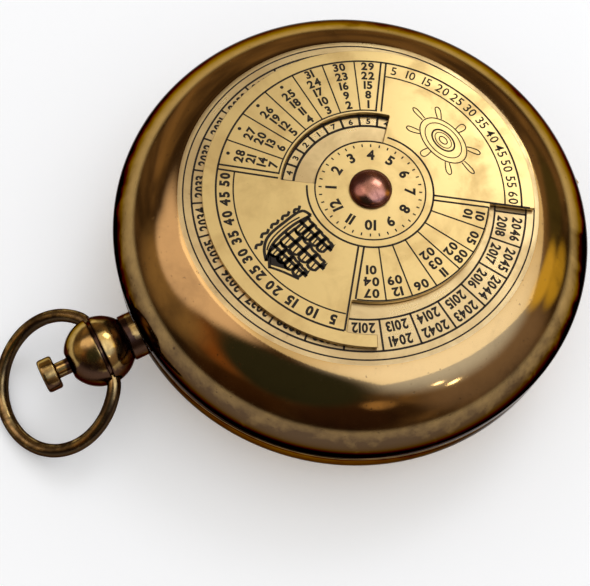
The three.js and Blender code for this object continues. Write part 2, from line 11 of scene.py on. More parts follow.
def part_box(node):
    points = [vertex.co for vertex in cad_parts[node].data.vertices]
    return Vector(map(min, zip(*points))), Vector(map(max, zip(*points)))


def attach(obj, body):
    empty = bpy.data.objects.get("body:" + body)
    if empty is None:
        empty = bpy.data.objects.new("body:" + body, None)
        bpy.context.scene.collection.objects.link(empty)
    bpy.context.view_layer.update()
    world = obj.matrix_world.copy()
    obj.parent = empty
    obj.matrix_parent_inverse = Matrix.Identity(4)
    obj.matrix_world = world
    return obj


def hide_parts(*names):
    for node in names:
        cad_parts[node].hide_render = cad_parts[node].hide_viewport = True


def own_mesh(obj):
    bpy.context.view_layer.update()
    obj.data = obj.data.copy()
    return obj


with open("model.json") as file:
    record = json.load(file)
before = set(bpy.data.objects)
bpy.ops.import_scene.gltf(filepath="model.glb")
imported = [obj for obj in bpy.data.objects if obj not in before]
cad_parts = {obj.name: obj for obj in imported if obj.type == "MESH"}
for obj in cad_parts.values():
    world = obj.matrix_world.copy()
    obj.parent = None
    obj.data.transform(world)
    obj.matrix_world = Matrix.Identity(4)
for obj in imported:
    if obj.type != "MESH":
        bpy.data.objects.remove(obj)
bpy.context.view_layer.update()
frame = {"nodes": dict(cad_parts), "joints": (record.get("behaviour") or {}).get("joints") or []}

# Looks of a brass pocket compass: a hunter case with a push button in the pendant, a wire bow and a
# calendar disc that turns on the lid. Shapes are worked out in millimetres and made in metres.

MM = 0.001


def span(node):
    """Lowest and highest corner of a solid at rest, in millimetres."""
    low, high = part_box(node)
    return np.array(low) / MM, np.array(high) / MM


# Sizes, in millimetres

joint_at = {j["name"]: np.array(j.get("pos_m", (0, 0, 0))) / MM for j in frame["joints"]}
case_high = span("case_body")[1]
lid_low, lid_high = span("lid")
disc_low, disc_high = span("calendar_disc")
rivet_low, rivet_high = span("calendar_rivet")
cap_low, cap_high = span("button_cap")
stem_low, stem_high = span("button_stem")
coil_low, coil_high = span("button_spring")
pin_low, pin_high = span("hinge_pin")
bowl_low, bowl_high = span("compass_bowl")
card_low, card_high = span("dial_card")
spacer_low, spacer_high = span("spacer_ring")
glass_low, glass_high = span("glass")
bezel_low, bezel_high = span("bezel")
needle_low, needle_high = span("needle")
needle_cap_low, needle_cap_high = span("needle_cap")

case_radius = case_high[0]
joint_height = joint_at["lid_hinge"][2]
hinge_axis = joint_at["lid_hinge"][1]
body_top = 2 * joint_height - lid_low[2]
lip_top = case_high[2]
lid_bottom = lid_low[2]
lid_top = lid_high[2]
foot_radius = 15.0
back_round_height = 6.5
floor_thickness = 1.5
inner_floor_radius = 18.5
band_inner = 22.7
lip_outer = 23.6
lid_wall = 1.1
lid_inner = case_radius - lid_wall
lid_band_top = joint_height + 1.6
lid_flat_radius = 17.8
lid_ceiling = lid_top - lid_wall
dome_fullness = 1.7
strike_half = 3.2
strike_inner = 22.2
strike_bottom = 10.2
strike_top = 10.9

hinge_seat_radius = 1.45
hinge_seat_half = 6.9
knuckle_radius = 1.15
knuckle_bore = 0.5
hinge_room = 0.9

pivot = joint_at["calendar_spin"][:2]
disc_radius = 16.65
disc_step_radius = 12.1
disc_tab_inner = 15.35
window_inner = 5.5
window_outer = 8.95
step_angle = 236.1
notch_angle = 141.8
tab_angle = 152.6
window_start = -42.6
window_end = 56.4
disc_hole_radius = 1.2

button_height = joint_at["bow_swing"][2]
ball_middle = joint_at["bow_swing"][1]
ball_radius = 3.55
ball_end_radius = 1.35
collar_radius = 2.4
valley_radius = 2.2
ball_end = ball_middle + math.sqrt(ball_radius**2 - ball_end_radius**2)
ball_valley = ball_middle - math.sqrt(ball_radius**2 - valley_radius**2)
groove_width = 0.36
groove_depth = 0.35
chamber_radius = 1.45
chamber_end = ball_end - 1.4
stem_radius = 0.8
bore_gap = 0.2
bow_radius = 6.84
bow_wire_radius = 0.68
bow_foot_spread = 3.5
bow_hole_end = 2.35
bow_pin_end = bow_hole_end + 0.3
bow_floor_gap = 0.05

spring_wire_radius = 0.15
spring_turns = 5

dial_radius = card_high[0]
bezel_inner = dial_radius - 1

ink_rise = 0.012  # how far the black wax stands over the brass, and ink over the card
ink_sink = 0.03
line_width = 0.2
fine_line = 0.15

# Meshes from points

sharp_angle = 32  # edges that turn by more degrees stay crisp


def make(name, points, faces, finish, smooth_angle=sharp_angle):
    """A piece from points in millimetres and faces, with doubles merged and its sharp edges kept."""
    mesh = bpy.data.meshes.new(name)
    mesh.from_pydata((np.asarray(points, float) * MM).tolist(), [], [list(map(int, f)) for f in faces])
    edit = bmesh.new()
    edit.from_mesh(mesh)
    bmesh.ops.remove_doubles(edit, verts=edit.verts, dist=1e-7)
    bmesh.ops.dissolve_degenerate(edit, edges=edit.edges, dist=1e-8)
    edit.to_mesh(mesh)
    edit.free()
    piece = bpy.data.objects.new(name, mesh)
    bpy.context.scene.collection.objects.link(piece)
    mesh.materials.append(finish)
    smooth(piece, smooth_angle)
    return piece


def gathered(items, what):
    """One vector of each item of a mesh, as rows."""
    values = np.zeros(len(items) * 3)
    items.foreach_get(what, values)
    return values.reshape(-1, 3)


def smooth(piece, angle):
    """Smooth shading, with edges sharper than the angle left crisp, and the height of each normal
    kept as the attribute "up" for the painted shade on flanks and under sides."""
    mesh = piece.data
    mesh.shade_smooth()
    mesh.set_sharp_from_angle(angle=math.radians(angle))
    up = mesh.attributes.get("up") or mesh.attributes.new("up", "FLOAT", "POINT")
    up.data.foreach_set("value", gathered(mesh.vertex_normals, "vector")[:, 2])


def grid_faces(rows, columns, wrap_rows=False):
    """Quads between neighbouring points of a grid. Each row closes on itself, and wrapped rows too."""
    r, c = np.mgrid[: rows if wrap_rows else rows - 1, :columns]
    r2, c2 = (r + 1) % rows, (c + 1) % columns
    corners = [r * columns + c, r * columns + c2, r2 * columns + c2, r2 * columns + c]
    return np.stack(corners, -1).reshape(-1, 4)


def raised(xy, height):
    """Flat points at one height."""
    return np.column_stack([xy, np.full(len(xy), height)])


def turning(degrees):
    """The matrix that turns rows of [x, y] anticlockwise. Its rows are the turned axes."""
    a = math.radians(degrees)
    return np.array([[math.cos(a), math.sin(a)], [-math.sin(a), math.cos(a)]])


def section(inner, outer, bottom, top):
    """The four corners of a rectangle, anticlockwise, such as half the section of a ring or a rod."""
    return [[inner, bottom], [outer, bottom], [outer, top], [inner, top]]


def softened(outline, radius, closed=False, steps=4):
    """An outline with each sharp corner p blended: (1-t)^2 a + 2 t (1-t) p + t^2 b, where a and b lie
    one radius before and after p, or at most 0.45 of the way to the next point. A corner is sharp if the
    outline turns there by more than the least turn, in degrees."""
    least_turn = 18
    p = np.asarray(outline, float)
    back, ahead = np.roll(p, 1, 0) - p, np.roll(p, -1, 0) - p
    back_length = np.maximum(np.linalg.norm(back, axis=1), 1e-9)
    ahead_length = np.maximum(np.linalg.norm(ahead, axis=1), 1e-9)
    cosine = (-(back * ahead).sum(1)) / (back_length * ahead_length)
    sharp = cosine < math.cos(math.radians(least_turn))
    if not closed:
        sharp[[0, -1]] = False
    a = p + back * np.minimum(radius / back_length, 0.45)[:, None]
    b = p + ahead * np.minimum(radius / ahead_length, 0.45)[:, None]
    t = np.linspace(0, 1, steps + 1)[:, None, None]
    curves = (1 - t) ** 2 * a + 2 * t * (1 - t) * p + t**2 * b
    return np.concatenate([curves[:, i] if sharp[i] else p[i : i + 1] for i in range(len(p))])


def oval(middle, width, height, start, end, steps, fullness=2.0):
    """Points of an oval |x/width|^n + |z/height|^n = 1 about its middle, from one angle to another."""
    t = np.radians(np.linspace(start, end, steps + 1))
    power = 2 / fullness
    c, s = np.cos(t), np.sin(t)
    across = np.sign(c) * np.abs(np.where(np.abs(c) < 1e-9, 0, c)) ** power
    up = np.sign(s) * np.abs(np.where(np.abs(s) < 1e-9, 0, s)) ** power
    return np.stack([middle[0] + width * across, middle[1] + height * up], 1)


def turned(name, profile, finish, sides, axis="Z", middle=(0, 0, 0)):
    """A profile of [radius, height] points turned round an axis: each point goes to
    (radius cos a, radius sin a, height). It starts and ends on the axis or else closes on itself."""
    profile = np.asarray(profile, float)
    a = 2 * np.pi * np.arange(sides) / sides
    r, h = profile[:, :1], profile[:, 1:]
    x, y, z = r * np.cos(a), r * np.sin(a), h + 0 * a
    order = {"Z": (x, y, z), "Y": (y, z, x), "X": (z, x, y)}[axis]
    points = np.stack(order, -1).reshape(-1, 3) + np.asarray(middle, float)
    on_axis = profile[0, 0] < 1e-9 and profile[-1, 0] < 1e-9
    return make(name, points, grid_faces(len(profile), sides, wrap_rows=not on_axis), finish)


def wire(name, path, radius, finish, side, sides):
    """A round wire: circles of one radius square to the path, with a low dome at each end. The side
    vector, less its part along the path, gives the direction in which each circle starts."""
    along = np.gradient(path, axis=0)
    along /= np.linalg.norm(along, axis=1)[:, None]
    t = np.radians([0, 30, 60])
    dome, lead = radius * np.sin(t), 0.2 * radius * np.cos(t)[:, None]
    path = np.concatenate([path[0] - along[0] * lead, path, path[-1] + along[-1] * lead[::-1]])
    along = np.concatenate([np.repeat(along[:1], 3, 0), along, np.repeat(along[-1:], 3, 0)])
    radii = np.concatenate([dome, np.full(len(path) - 6, radius), dome[::-1]])
    first = np.array(side) - along * (along @ np.array(side))[:, None]
    first /= np.linalg.norm(first, axis=1)[:, None]
    second = np.cross(along, first)
    a = 2 * np.pi * np.arange(sides) / sides
    circle = first[:, None] * np.cos(a)[:, None] + second[:, None] * np.sin(a)[:, None]
    points = path[:, None] + radii[:, None, None] * circle
    return make(name, points.reshape(-1, 3), grid_faces(len(path), sides), finish, smooth_angle=60)


def edge_normals(loop):
    """The outward mitre at each point of a loop whose material lies on the left of its run."""
    run = np.roll(loop, -1, 0) - loop
    run /= np.maximum(np.linalg.norm(run, axis=1), 1e-9)[:, None]
    right = np.stack([run[:, 1], -run[:, 0]], 1)
    before = np.roll(right, 1, 0)
    both = right + before
    return both / np.maximum(1 + (right * before).sum(1), 0.35)[:, None]


def filled(loops):
    """Triangles over the area between flat loops, anticlockwise seen from above."""
    xy = np.concatenate(loops)
    found = []
    for a, b, c in tessellate_polygon([[Vector((*p, 0)) for p in loop] for loop in loops]):
        area = np.cross(xy[b] - xy[a], xy[c] - xy[a])
        found.append([a, b, c] if area > 0 else [a, c, b])
    return found


def plate(name, loops, bottom, top, finish, bevel):
    """A flat plate with bevelled edges. The first loop runs anticlockwise, holes run clockwise. Each
    loop gives four rings: drawn in by the bevel, full, full, and drawn in again."""
    heights = [bottom, bottom + bevel, top - bevel, top]
    drawn_in = [loop - edge_normals(loop) * bevel for loop in loops]
    points, faces, index, lift = [], [], [], []
    count = 0
    for loop, inner in zip(loops, drawn_in):
        size = len(loop)
        points += map(raised, (inner, loop, loop, inner), heights)
        faces += (grid_faces(4, size) + count).tolist()
        index += range(count, count + size)
        lift += [3 * size] * size
        count += 4 * size
    for up in filled(drawn_in):
        faces.append([index[i] + lift[i] for i in up])
        faces.append([index[i] for i in up[::-1]])
    return make(name, np.concatenate(points), faces, finish)


def block(name, low, high, finish, bevel, turn=0):
    """A block with rounded upright edges and bevelled ends, turned round the Z axis."""
    x0, y0, z0 = low
    x1, y1, z1 = high
    corners = softened(section(x0, x1, y0, y1), 2.5 * bevel, closed=True)
    return plate(name, [corners @ turning(turn)], z0, z1, finish, bevel)


def evaluated(carrier):
    """The mesh that an object shows, with its modifiers applied."""
    shown = carrier.evaluated_get(bpy.context.evaluated_depsgraph_get())
    return bpy.data.meshes.new_from_object(shown)


def cut(piece, cutters):
    """Takes the cutters' solids away from a piece, for good, and removes the cutters."""
    for cutter in cutters:
        step = piece.modifiers.new("cut", "BOOLEAN")
        step.operation = "DIFFERENCE"
        step.solver = "EXACT"
        step.object = cutter
    mesh = evaluated(piece)
    piece.modifiers.clear()
    piece.data = mesh
    for cutter in cutters:
        bpy.data.objects.remove(cutter)
    smooth(piece, sharp_angle)
    return piece


def fix(piece, body, slot, *nodes):
    """Seats a piece on its body and hides the solids that it stands for. Its slot is not used."""
    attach(piece, body)
    if nodes:
        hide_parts(*nodes)
    return piece


def lathe(name, outline, rounding, finish, sides, body, slot, node, axis="Z", middle=(0, 0, 0), steps=4):
    """A turned piece with rounded edges, on its body. An outline that starts off the axis is a ring's."""
    profile = softened(outline, rounding, outline[0][0] > 0, steps)
    return fix(turned(name, profile, finish, sides, axis, middle), body, slot, node)


# Shader maths


def maths(operation, reflected=False):
    """An operator for Signal, as a Math node on its two values."""

    def operator(self, other):
        inputs = {0: other, 1: self} if reflected else {0: self, 1: other}
        return self.nodes.node("Math", {"operation": operation}, inputs)

    return operator


class Signal:
    """One output in a material's nodes. Arithmetic on it adds the Math nodes."""

    def __init__(self, nodes, socket):
        self.nodes = nodes
        self.socket = socket

    __add__ = maths("ADD")
    __radd__ = maths("ADD", True)
    __sub__ = maths("SUBTRACT")
    __rsub__ = maths("SUBTRACT", True)
    __mul__ = maths("MULTIPLY")
    __rmul__ = maths("MULTIPLY", True)
    __pow__ = maths("POWER")

    def step(self, low, high):
        """0 below low, 1 above high, and smooth between."""
        ramp = {"Value": self, "From Min": low, "From Max": high}
        return self.nodes.node("MapRange", {"interpolation_type": "SMOOTHSTEP"}, ramp)


class Nodes:
    """The nodes of one material or of the world."""

    def __init__(self, tree):
        self.tree = tree

    def feed(self, socket, value):
        if isinstance(value, Signal):
            self.tree.links.new(value.socket, socket)
        else:
            socket.default_value = value

    def node(self, kind, settings=None, inputs=None, output=0):
        """Adds a node: first its settings, then the values or links of its sockets."""
        node = self.tree.nodes.new(f"ShaderNode{kind}")
        for key, value in (settings or {}).items():
            setattr(node, key, value)
        for key, value in (inputs or {}).items():
            self.feed(node.inputs[key], value)
        return Signal(self, node.outputs[output])

    def place(self):
        return self.node("TexCoord", output="Object")

    def attribute(self, name):
        return self.node("Attribute", {"attribute_name": name}, output="Fac")

    def parts(self, vector):
        split = self.node("SeparateXYZ", inputs={0: vector})
        return [Signal(self, split.socket.node.outputs[i]) for i in range(3)]

    def vector(self, x, y, z):
        return self.node("CombineXYZ", inputs={0: x, 1: y, 2: z})

    def noise(self, vector, scale, detail=3.0, roughness=0.55, distortion=0.0):
        inputs = {
            "Vector": vector, "Scale": scale, "Detail": detail,
            "Roughness": roughness, "Distortion": distortion,
        }
        return self.node("TexNoise", inputs=inputs)

    def scaled(self, vector, x, y, z):
        inputs = {0: vector, 1: (x, y, z)}
        return self.node("VectorMath", {"operation": "MULTIPLY"}, inputs)

    def blend(self, share, *colours):
        """The first colour where the share is 0 and the second where it is 1."""
        first, second = [c if isinstance(c, Signal) else (*c, 1) for c in colours]
        settings = {"data_type": "RGBA", "clamp_factor": True}
        return self.node("Mix", settings, {0: share, 6: first, 7: second}, output=2)

    def bump(self, height, distance, strength=1.0):
        inputs = {"Strength": strength, "Distance": distance, "Height": height}
        return self.node("Bump", inputs=inputs)


class Finish(Nodes):
    """A surface finish: one material with its Principled shader."""

    def __init__(self, name, **constants):
        self.material = bpy.data.materials.new(name)
        self.material.use_nodes = True
        super().__init__(self.material.node_tree)
        self.shader = self.tree.nodes["Principled BSDF"]
        self.set(**constants)

    def set(self, **values):
        """Feeds the shader's sockets by name, with _ for each blank, and gives the material."""
        for socket, value in values.items():
            self.feed(self.shader.inputs[socket.replace("_", " ")], value)
        return self.material


# Finishes


def turned_grain(f, centre):
    """Noise along the distance from a centre, almost even all the way round."""
    scale = 9000
    x, y, z = f.parts(f.place())
    x, y = x - centre[0] * MM, y - centre[1] * MM
    reach = (x * x + y * y) ** 0.5
    angle = f.node("Math", {"operation": "ARCTAN2"}, {0: y, 1: x})
    return f.noise(f.vector(reach * scale, angle * 0.8, z * scale), 1.0, 4.0, 0.65)


def brass(
    name, bright, dull, gloss, cloud, dull_share, scratch,
    turned_about=None, dirt_and_shade=None, shade=None, edge=(0.86, 0.82, 0.76),
):
    """Brass with dull clouds, rubbed bright elsewhere, fine wiping marks and small pits.

    bright and dull are the two colours, gloss their two roughness values, and cloud the number of
    clouds in a metre. dull_share is the noise value at which the dull colour sets in, and scratch the
    strength of the marks, which follow rings about turned_about. grime is a function of the finish that
    is 1 where the brass is darkened: by dirt along the case's joint, by painted shade round the flanks,
    and in the pendant's hollows. shade names the normal heights between which painted shade on the
    under side ends, and its strength. edge is the share of light that is mirrored at a grazing angle."""
    f = Finish(name, Metallic=1.0, Specular_Tint=(*edge, 1))
    where = f.place()
    clouds = f.noise(where, cloud, 5.0, 0.6, 0.4)
    stain = clouds.step(dull_share - 0.12, dull_share + 0.16)
    mottle = f.noise(where, cloud * 5, 4.0, 0.6)
    wiped = f.noise(f.scaled(where, 9000, 900, 4000), 1.0, 2.0, 0.5)
    crossed = f.noise(f.scaled(where, 800, 8000, 5000), 1.0, 2.0, 0.5)
    pits = f.noise(where, 2600, 2.0, 0.5).step(0.68, 0.76)
    share = stain * 0.75 + (mottle - 0.5) * 0.35 + pits * 0.4
    # darkens the colour by dirt and by painted shade
    if dirt_and_shade is not None:
        share = share + dirt_and_shade(f) * (0.75 + mottle * 0.5)
    # painted shade: the colour is darker where the normal points less upwards
    if shade is not None:
        low, high, strength = shade
        share = share + (1 - f.attribute("up").step(low, high)) * strength
    colour = f.blend(share, bright, dull)
    marks = (wiped + crossed) * 0.5
    if turned_about is not None:
        marks = marks * 0.35 + turned_grain(f, turned_about) * 0.65
    low, high = gloss
    roughness = low + (high - low) * stain + (marks - 0.5) * 0.10 * scratch + pits * 0.12
    normal = f.bump(marks * scratch - pits * 0.6, 0.000006, 0.6)
    return f.set(Base_Color=colour, Roughness=roughness, Normal=normal)


def near(signal, place, reach):
    """1 where the signal equals the place, down to 0 at the reach from it, both in millimetres."""
    offset = signal - place * MM
    return 1 - (offset * offset).step(0, (reach * MM) ** 2)


def pendant_grime(f):
    """Darker in the ball's groove, in the valley behind it and where the stem comes out."""
    y = f.parts(f.place())[1]
    return near(y, ball_middle, 0.4) * 0.9 + near(y, ball_valley, 0.8) + near(y, ball_end, 0.5)


def flank_grime(f):
    """Dirt along the joint between lid and case, and painted shade round the flanks, most on the lid."""
    z = f.parts(f.place())[2]
    up = f.attribute("up")
    on_lid = z.step(joint_height * MM - 0.00002, joint_height * MM + 0.00002)
    # painted shade: darker where the normal lies near level, most on the lid
    return near(z, joint_height, 0.9) * 0.5 + (1 - (up * up).step(0.06, 0.85)) * (0.3 + 0.8 * on_lid)


def ground_steel(name, colour, shade, roughness, far_colour=None):
    """Ground steel with fine lines across it; a second colour past the middle for a needle."""
    f = Finish(name, Metallic=1.0)
    where = f.place()
    lines = f.noise(f.scaled(where, 1500, 12000, 12000), 1.0, 3.0, 0.6)
    spots = f.noise(where, 700, 4.0, 0.6)
    base = f.blend(spots.step(0.4, 0.7), colour, shade)
    if far_colour is not None:
        y = f.parts(where)[1]
        base = f.blend((0 - y).step(-0.0001, 0.0001), base, far_colour)
    return f.set(
        Base_Color=base,
        Roughness=roughness + (lines - 0.5) * 0.2,
        Normal=f.bump(lines, 0.000005, 0.5),
    )


def printed_card(name):
    """Cream card, a little browned towards its edge, with paper fibres."""
    f = Finish(name, Metallic=0.0)
    where = f.place()
    x, y = f.parts(where)[:2]
    reach = (x * x + y * y) ** 0.5
    fibres = f.noise(f.scaled(where, 5000, 2200, 5000), 1.0, 5.0, 0.7)
    foxing = f.noise(where, 380, 4.0, 0.6).step(0.6, 0.78)
    edge = reach.step(0.011, 0.0185)
    share = edge * 0.45 + foxing * 0.35 + (fibres - 0.5) * 0.3
    colour = f.blend(share, (0.80, 0.74, 0.58), (0.52, 0.40, 0.22))
    return f.set(
        Base_Color=colour,
        Roughness=0.62 + (fibres - 0.5) * 0.2,
        Normal=f.bump(fibres, 0.00001, 0.5),
    )


def black_wax(name, colour=(0.020, 0.013, 0.006)):
    """Black wax or ink: matt, a little worn and uneven."""
    f = Finish(name, Metallic=0.0, Specular_IOR_Level=0.25)
    where = f.place()
    grain = f.noise(where, 4200, 4.0, 0.7)
    worn = f.noise(where, 900, 3.0, 0.6).step(0.6, 0.8)
    lighter = tuple(3.2 * c + 0.02 for c in colour)
    return f.set(
        Base_Color=f.blend(worn * 0.6 + (grain - 0.5) * 0.3, colour, lighter),
        Roughness=0.6 + (grain - 0.5) * 0.3,
        Normal=f.bump(grain, 0.000008, 0.6),
    )


def clear_glass(name):
    """Clear glass with a few faint wiping marks."""
    f = Finish(name, Metallic=0.0, Transmission_Weight=1.0, IOR=1.5)
    smears = f.noise(f.scaled(f.place(), 300, 1400, 300), 1.0, 4.0, 0.6)
    return f.set(Base_Color=(0.97, 1.0, 0.98, 1), Roughness=0.01 + smears.step(0.5, 0.8) * 0.015)


browned_edge = (0.34, 0.28, 0.23)
# the flanks, most on the lid, are painted darker as painted shade; the joint between lid and case is dirty
polished = brass(
    "polished brass", (0.60, 0.38, 0.135), (0.10, 0.060, 0.032), (0.08, 0.16), 100, 0.64, 0.5,
    dirt_and_shade=flank_grime, edge=(0.15, 0.13, 0.125),
)
inside = brass(
    "satin brass inside", (0.66, 0.45, 0.17), (0.46, 0.29, 0.10), (0.24, 0.38), 150, 0.55, 0.9, (0, 0),
)
satin = brass(
    "satin brass", (0.76, 0.545, 0.21), (0.60, 0.40, 0.14), (0.29, 0.40), 210, 0.55, 1.0, pivot,
)
base_brass = brass(
    "lid top", (0.74, 0.545, 0.25), (0.54, 0.37, 0.155), (0.27, 0.38), 190, 0.5, 0.9, (0, 0),
)
# the ball and button are painted darker on their under sides as painted shade
aged = brass(
    "aged brass", (0.66, 0.43, 0.13), (0.07, 0.036, 0.022), (0.14, 0.32), 300, 0.52, 0.9,
    dirt_and_shade=pendant_grime, shade=(0.35, 0.95, 0.95), edge=browned_edge,
)
# the bow is painted darker on its under side as painted shade
bow_brass = brass(
    "bow brass", (0.56, 0.37, 0.13), (0.055, 0.034, 0.018), (0.17, 0.34), 380, 0.48, 0.9,
    shade=(0.5, 0.98, 0.95), edge=browned_edge,
)
hinge_brass = brass("hinge brass", (0.52, 0.34, 0.12), (0.22, 0.12, 0.04), (0.22, 0.36), 420, 0.5, 0.9)
# the rivet head is painted darker round its sides as painted shade
copper = brass(
    "dark copper", (0.50, 0.22, 0.14), (0.16, 0.05, 0.035), (0.18, 0.30), 480, 0.5, 0.8,
    shade=(0.5, 0.98, 0.7),
)
steel = ground_steel("spring steel", (0.46, 0.46, 0.48), (0.26, 0.25, 0.25), 0.30)
blued = ground_steel("blued steel", (0.035, 0.06, 0.22), (0.02, 0.03, 0.10), 0.24, (0.50, 0.50, 0.52))
card = printed_card("printed card")
wax = black_wax("black wax")
red_lacquer = black_wax("red lacquer", (0.28, 0.02, 0.015))
glass = clear_glass("glass")

# Case


def case_shell():
    """The case: flat foot, oval back, straight band, lip and hollow inside, turned round Z."""
    back = oval((foot_radius, back_round_height), case_radius - foot_radius, back_round_height, -90, 0, 40)
    hollow = oval(
        (inner_floor_radius, back_round_height),
        band_inner - inner_floor_radius, back_round_height - floor_thickness, 0, -90, 20,
    )
    profile = softened(np.concatenate([
        [[0, 0]],
        back,
        [[case_radius, body_top], [lip_outer, body_top], [lip_outer, lip_top], [band_inner, lip_top]],
        hollow,
        [[0, floor_thickness]],
    ]), 0.16)
    shell = turned("case_shell", profile, polished, 288)
    seat = hinge_seat()
    room_half = hinge_seat_half + 0.05
    room = block(
        "room",
        (-room_half, -case_radius - 1, joint_height - hinge_room),
        (room_half, -inner_floor_radius, lip_top + 1),
        polished, 0.02,
    )
    stem_hole = round_cutter(stem_radius, 2, (0, case_radius - 1, button_height), "Y")
    fix(cut(shell, [seat, room, stem_hole]), "case", "polished_brass", "case_body")


def round_cutter(radius, half, middle, axis):
    """A plain round bar that is used only to cut."""
    return turned("cutter", section(0, radius, -half, half), polished, 96, axis, middle)


def hinge_seat():
    """The round bar that cuts the hinge's seat into the case and the lid."""
    return round_cutter(hinge_seat_radius, hinge_seat_half, (0, hinge_axis, joint_height), "X")


def spring_pads():
    """The two pads inside the band that the springs are screwed to."""
    half_width, half_height, face = 2.0, 1.1, 21.7
    for spring in ("catch", "lift"):
        x, y, z = sum(span(f"{spring}_screw")) / 2
        low = (face, -half_width, z - half_height)
        high = (band_inner + 0.5, half_width, z + half_height)
        pad = block(f"{spring}_pad", low, high, inside, 0.12, math.degrees(math.atan2(y, x)))
        fix(pad, "case", "polished_brass")


def lid_shell():
    """The lid: an oval dome over a straight band, with a flat top, one wall thick, turned round Z."""
    inner_flat = lid_flat_radius - lid_wall / 2
    ceiling = oval(
        (inner_flat, lid_band_top),
        lid_inner - inner_flat, lid_ceiling - lid_band_top, 90, 0, 30, dome_fullness,
    )
    dome = oval(
        (lid_flat_radius, lid_band_top),
        case_radius - lid_flat_radius, lid_top - lid_band_top, 0, 90, 64, dome_fullness,
    )
    profile = softened(np.concatenate([
        [[0, lid_ceiling]],
        ceiling,
        [[lid_inner, lid_bottom], [case_radius, lid_bottom]],
        dome,
        [[0, lid_top]],
    ]), 0.16)
    shell = turned("lid_shell", profile, polished, 288)
    seat = hinge_seat()
    hole = round_cutter(disc_hole_radius, 2, (*pivot, lid_top), "Z")
    lid_zones(cut(shell, [seat, hole]))
    low = (-strike_half, strike_inner, strike_bottom)
    high = (strike_half, lid_inner + 0.4, strike_top)
    fix(block("lid_strike", low, high, inside, 0.1), "lid", "polished_brass")
    fix(shell, "lid", "polished_brass", "lid")


def lid_zones(shell):
    """The flat top and the inside of the lid take finishes of their own."""
    shell.data.materials.append(base_brass)
    shell.data.materials.append(inside)
    centres = gathered(shell.data.polygons, "center") / MM
    normals = gathered(shell.data.polygons, "normal")
    reach = np.hypot(centres[:, 0], centres[:, 1])
    top = (centres[:, 2] > lid_top - 0.02) & (normals[:, 2] > 0.99)
    inward = (normals[:, :2] * centres[:, :2]).sum(1) < -0.01
    under = ((normals[:, 2] < -0.5) & (reach < lid_inner - 0.2)) | (inward & (reach < case_radius - 0.5))
    zone = np.where(top, 1, np.where(under, 2, 0)).astype(np.int32)
    shell.data.polygons.foreach_set("material_index", zone)
    shell.data.update()


def hinge():
    """Three turned tubes on one pin."""
    along = {"axis": "X", "middle": (0, hinge_axis, joint_height)}
    for side, body in (("left", "case"), ("right", "case"), ("lid", "lid")):
        name = f"hinge_knuckle_{side}"
        low, high = span(name)
        outline = section(knuckle_bore, knuckle_radius, low[0], high[0])
        lathe(f"{name}_tube", outline, 0.12, hinge_brass, 64, body, "aged_brass", name, **along)
    outline = section(0, (pin_high[2] - pin_low[2]) / 2, pin_low[0], pin_high[0])
    lathe("hinge_rod", outline, 0.12, steel, 40, "case", "steel", "hinge_pin", **along)


# Calendar disc


def polar(radius, degrees, centre=(0, 0)):
    """Points at a radius and an angle, or at several, round a centre."""
    a = np.radians(degrees)
    return np.stack(np.broadcast_arrays(centre[0] + radius * np.cos(a), centre[1] + radius * np.sin(a)), -1)


def arc(radius, start, end, centre=(0, 0), pitch=1.5):
    """Points of an arc, one for about each pitch degrees."""
    count = max(2, int(abs(end - start) / pitch) + 1)
    return polar(radius, np.linspace(start, end, count), centre)


def disc():
    """The calendar disc: a round plate with a step along the month columns, a tab and a window."""
    outline = np.concatenate([
        polar(disc_step_radius, step_angle, pivot)[None],
        arc(disc_radius, step_angle, tab_angle + 360, pivot),
        arc(disc_tab_inner, tab_angle, notch_angle, pivot),
        arc(disc_step_radius, notch_angle, step_angle, pivot)[:-1],
    ])
    window = np.concatenate([
        arc(window_outer, window_end, window_start, pivot),
        arc(window_inner, window_start, window_end, pivot),
    ])
    hole = arc(disc_hole_radius, 360, 0, pivot, 9)[:-1]
    loops = [
        softened(outline, 0.14, closed=True),
        softened(window, 0.12, closed=True),
        hole,
    ]
    piece = plate("calendar_plate", loops, disc_low[2], disc_high[2], satin, 0.06)
    fix(piece, "calendar", "satin_brass", "calendar_disc")


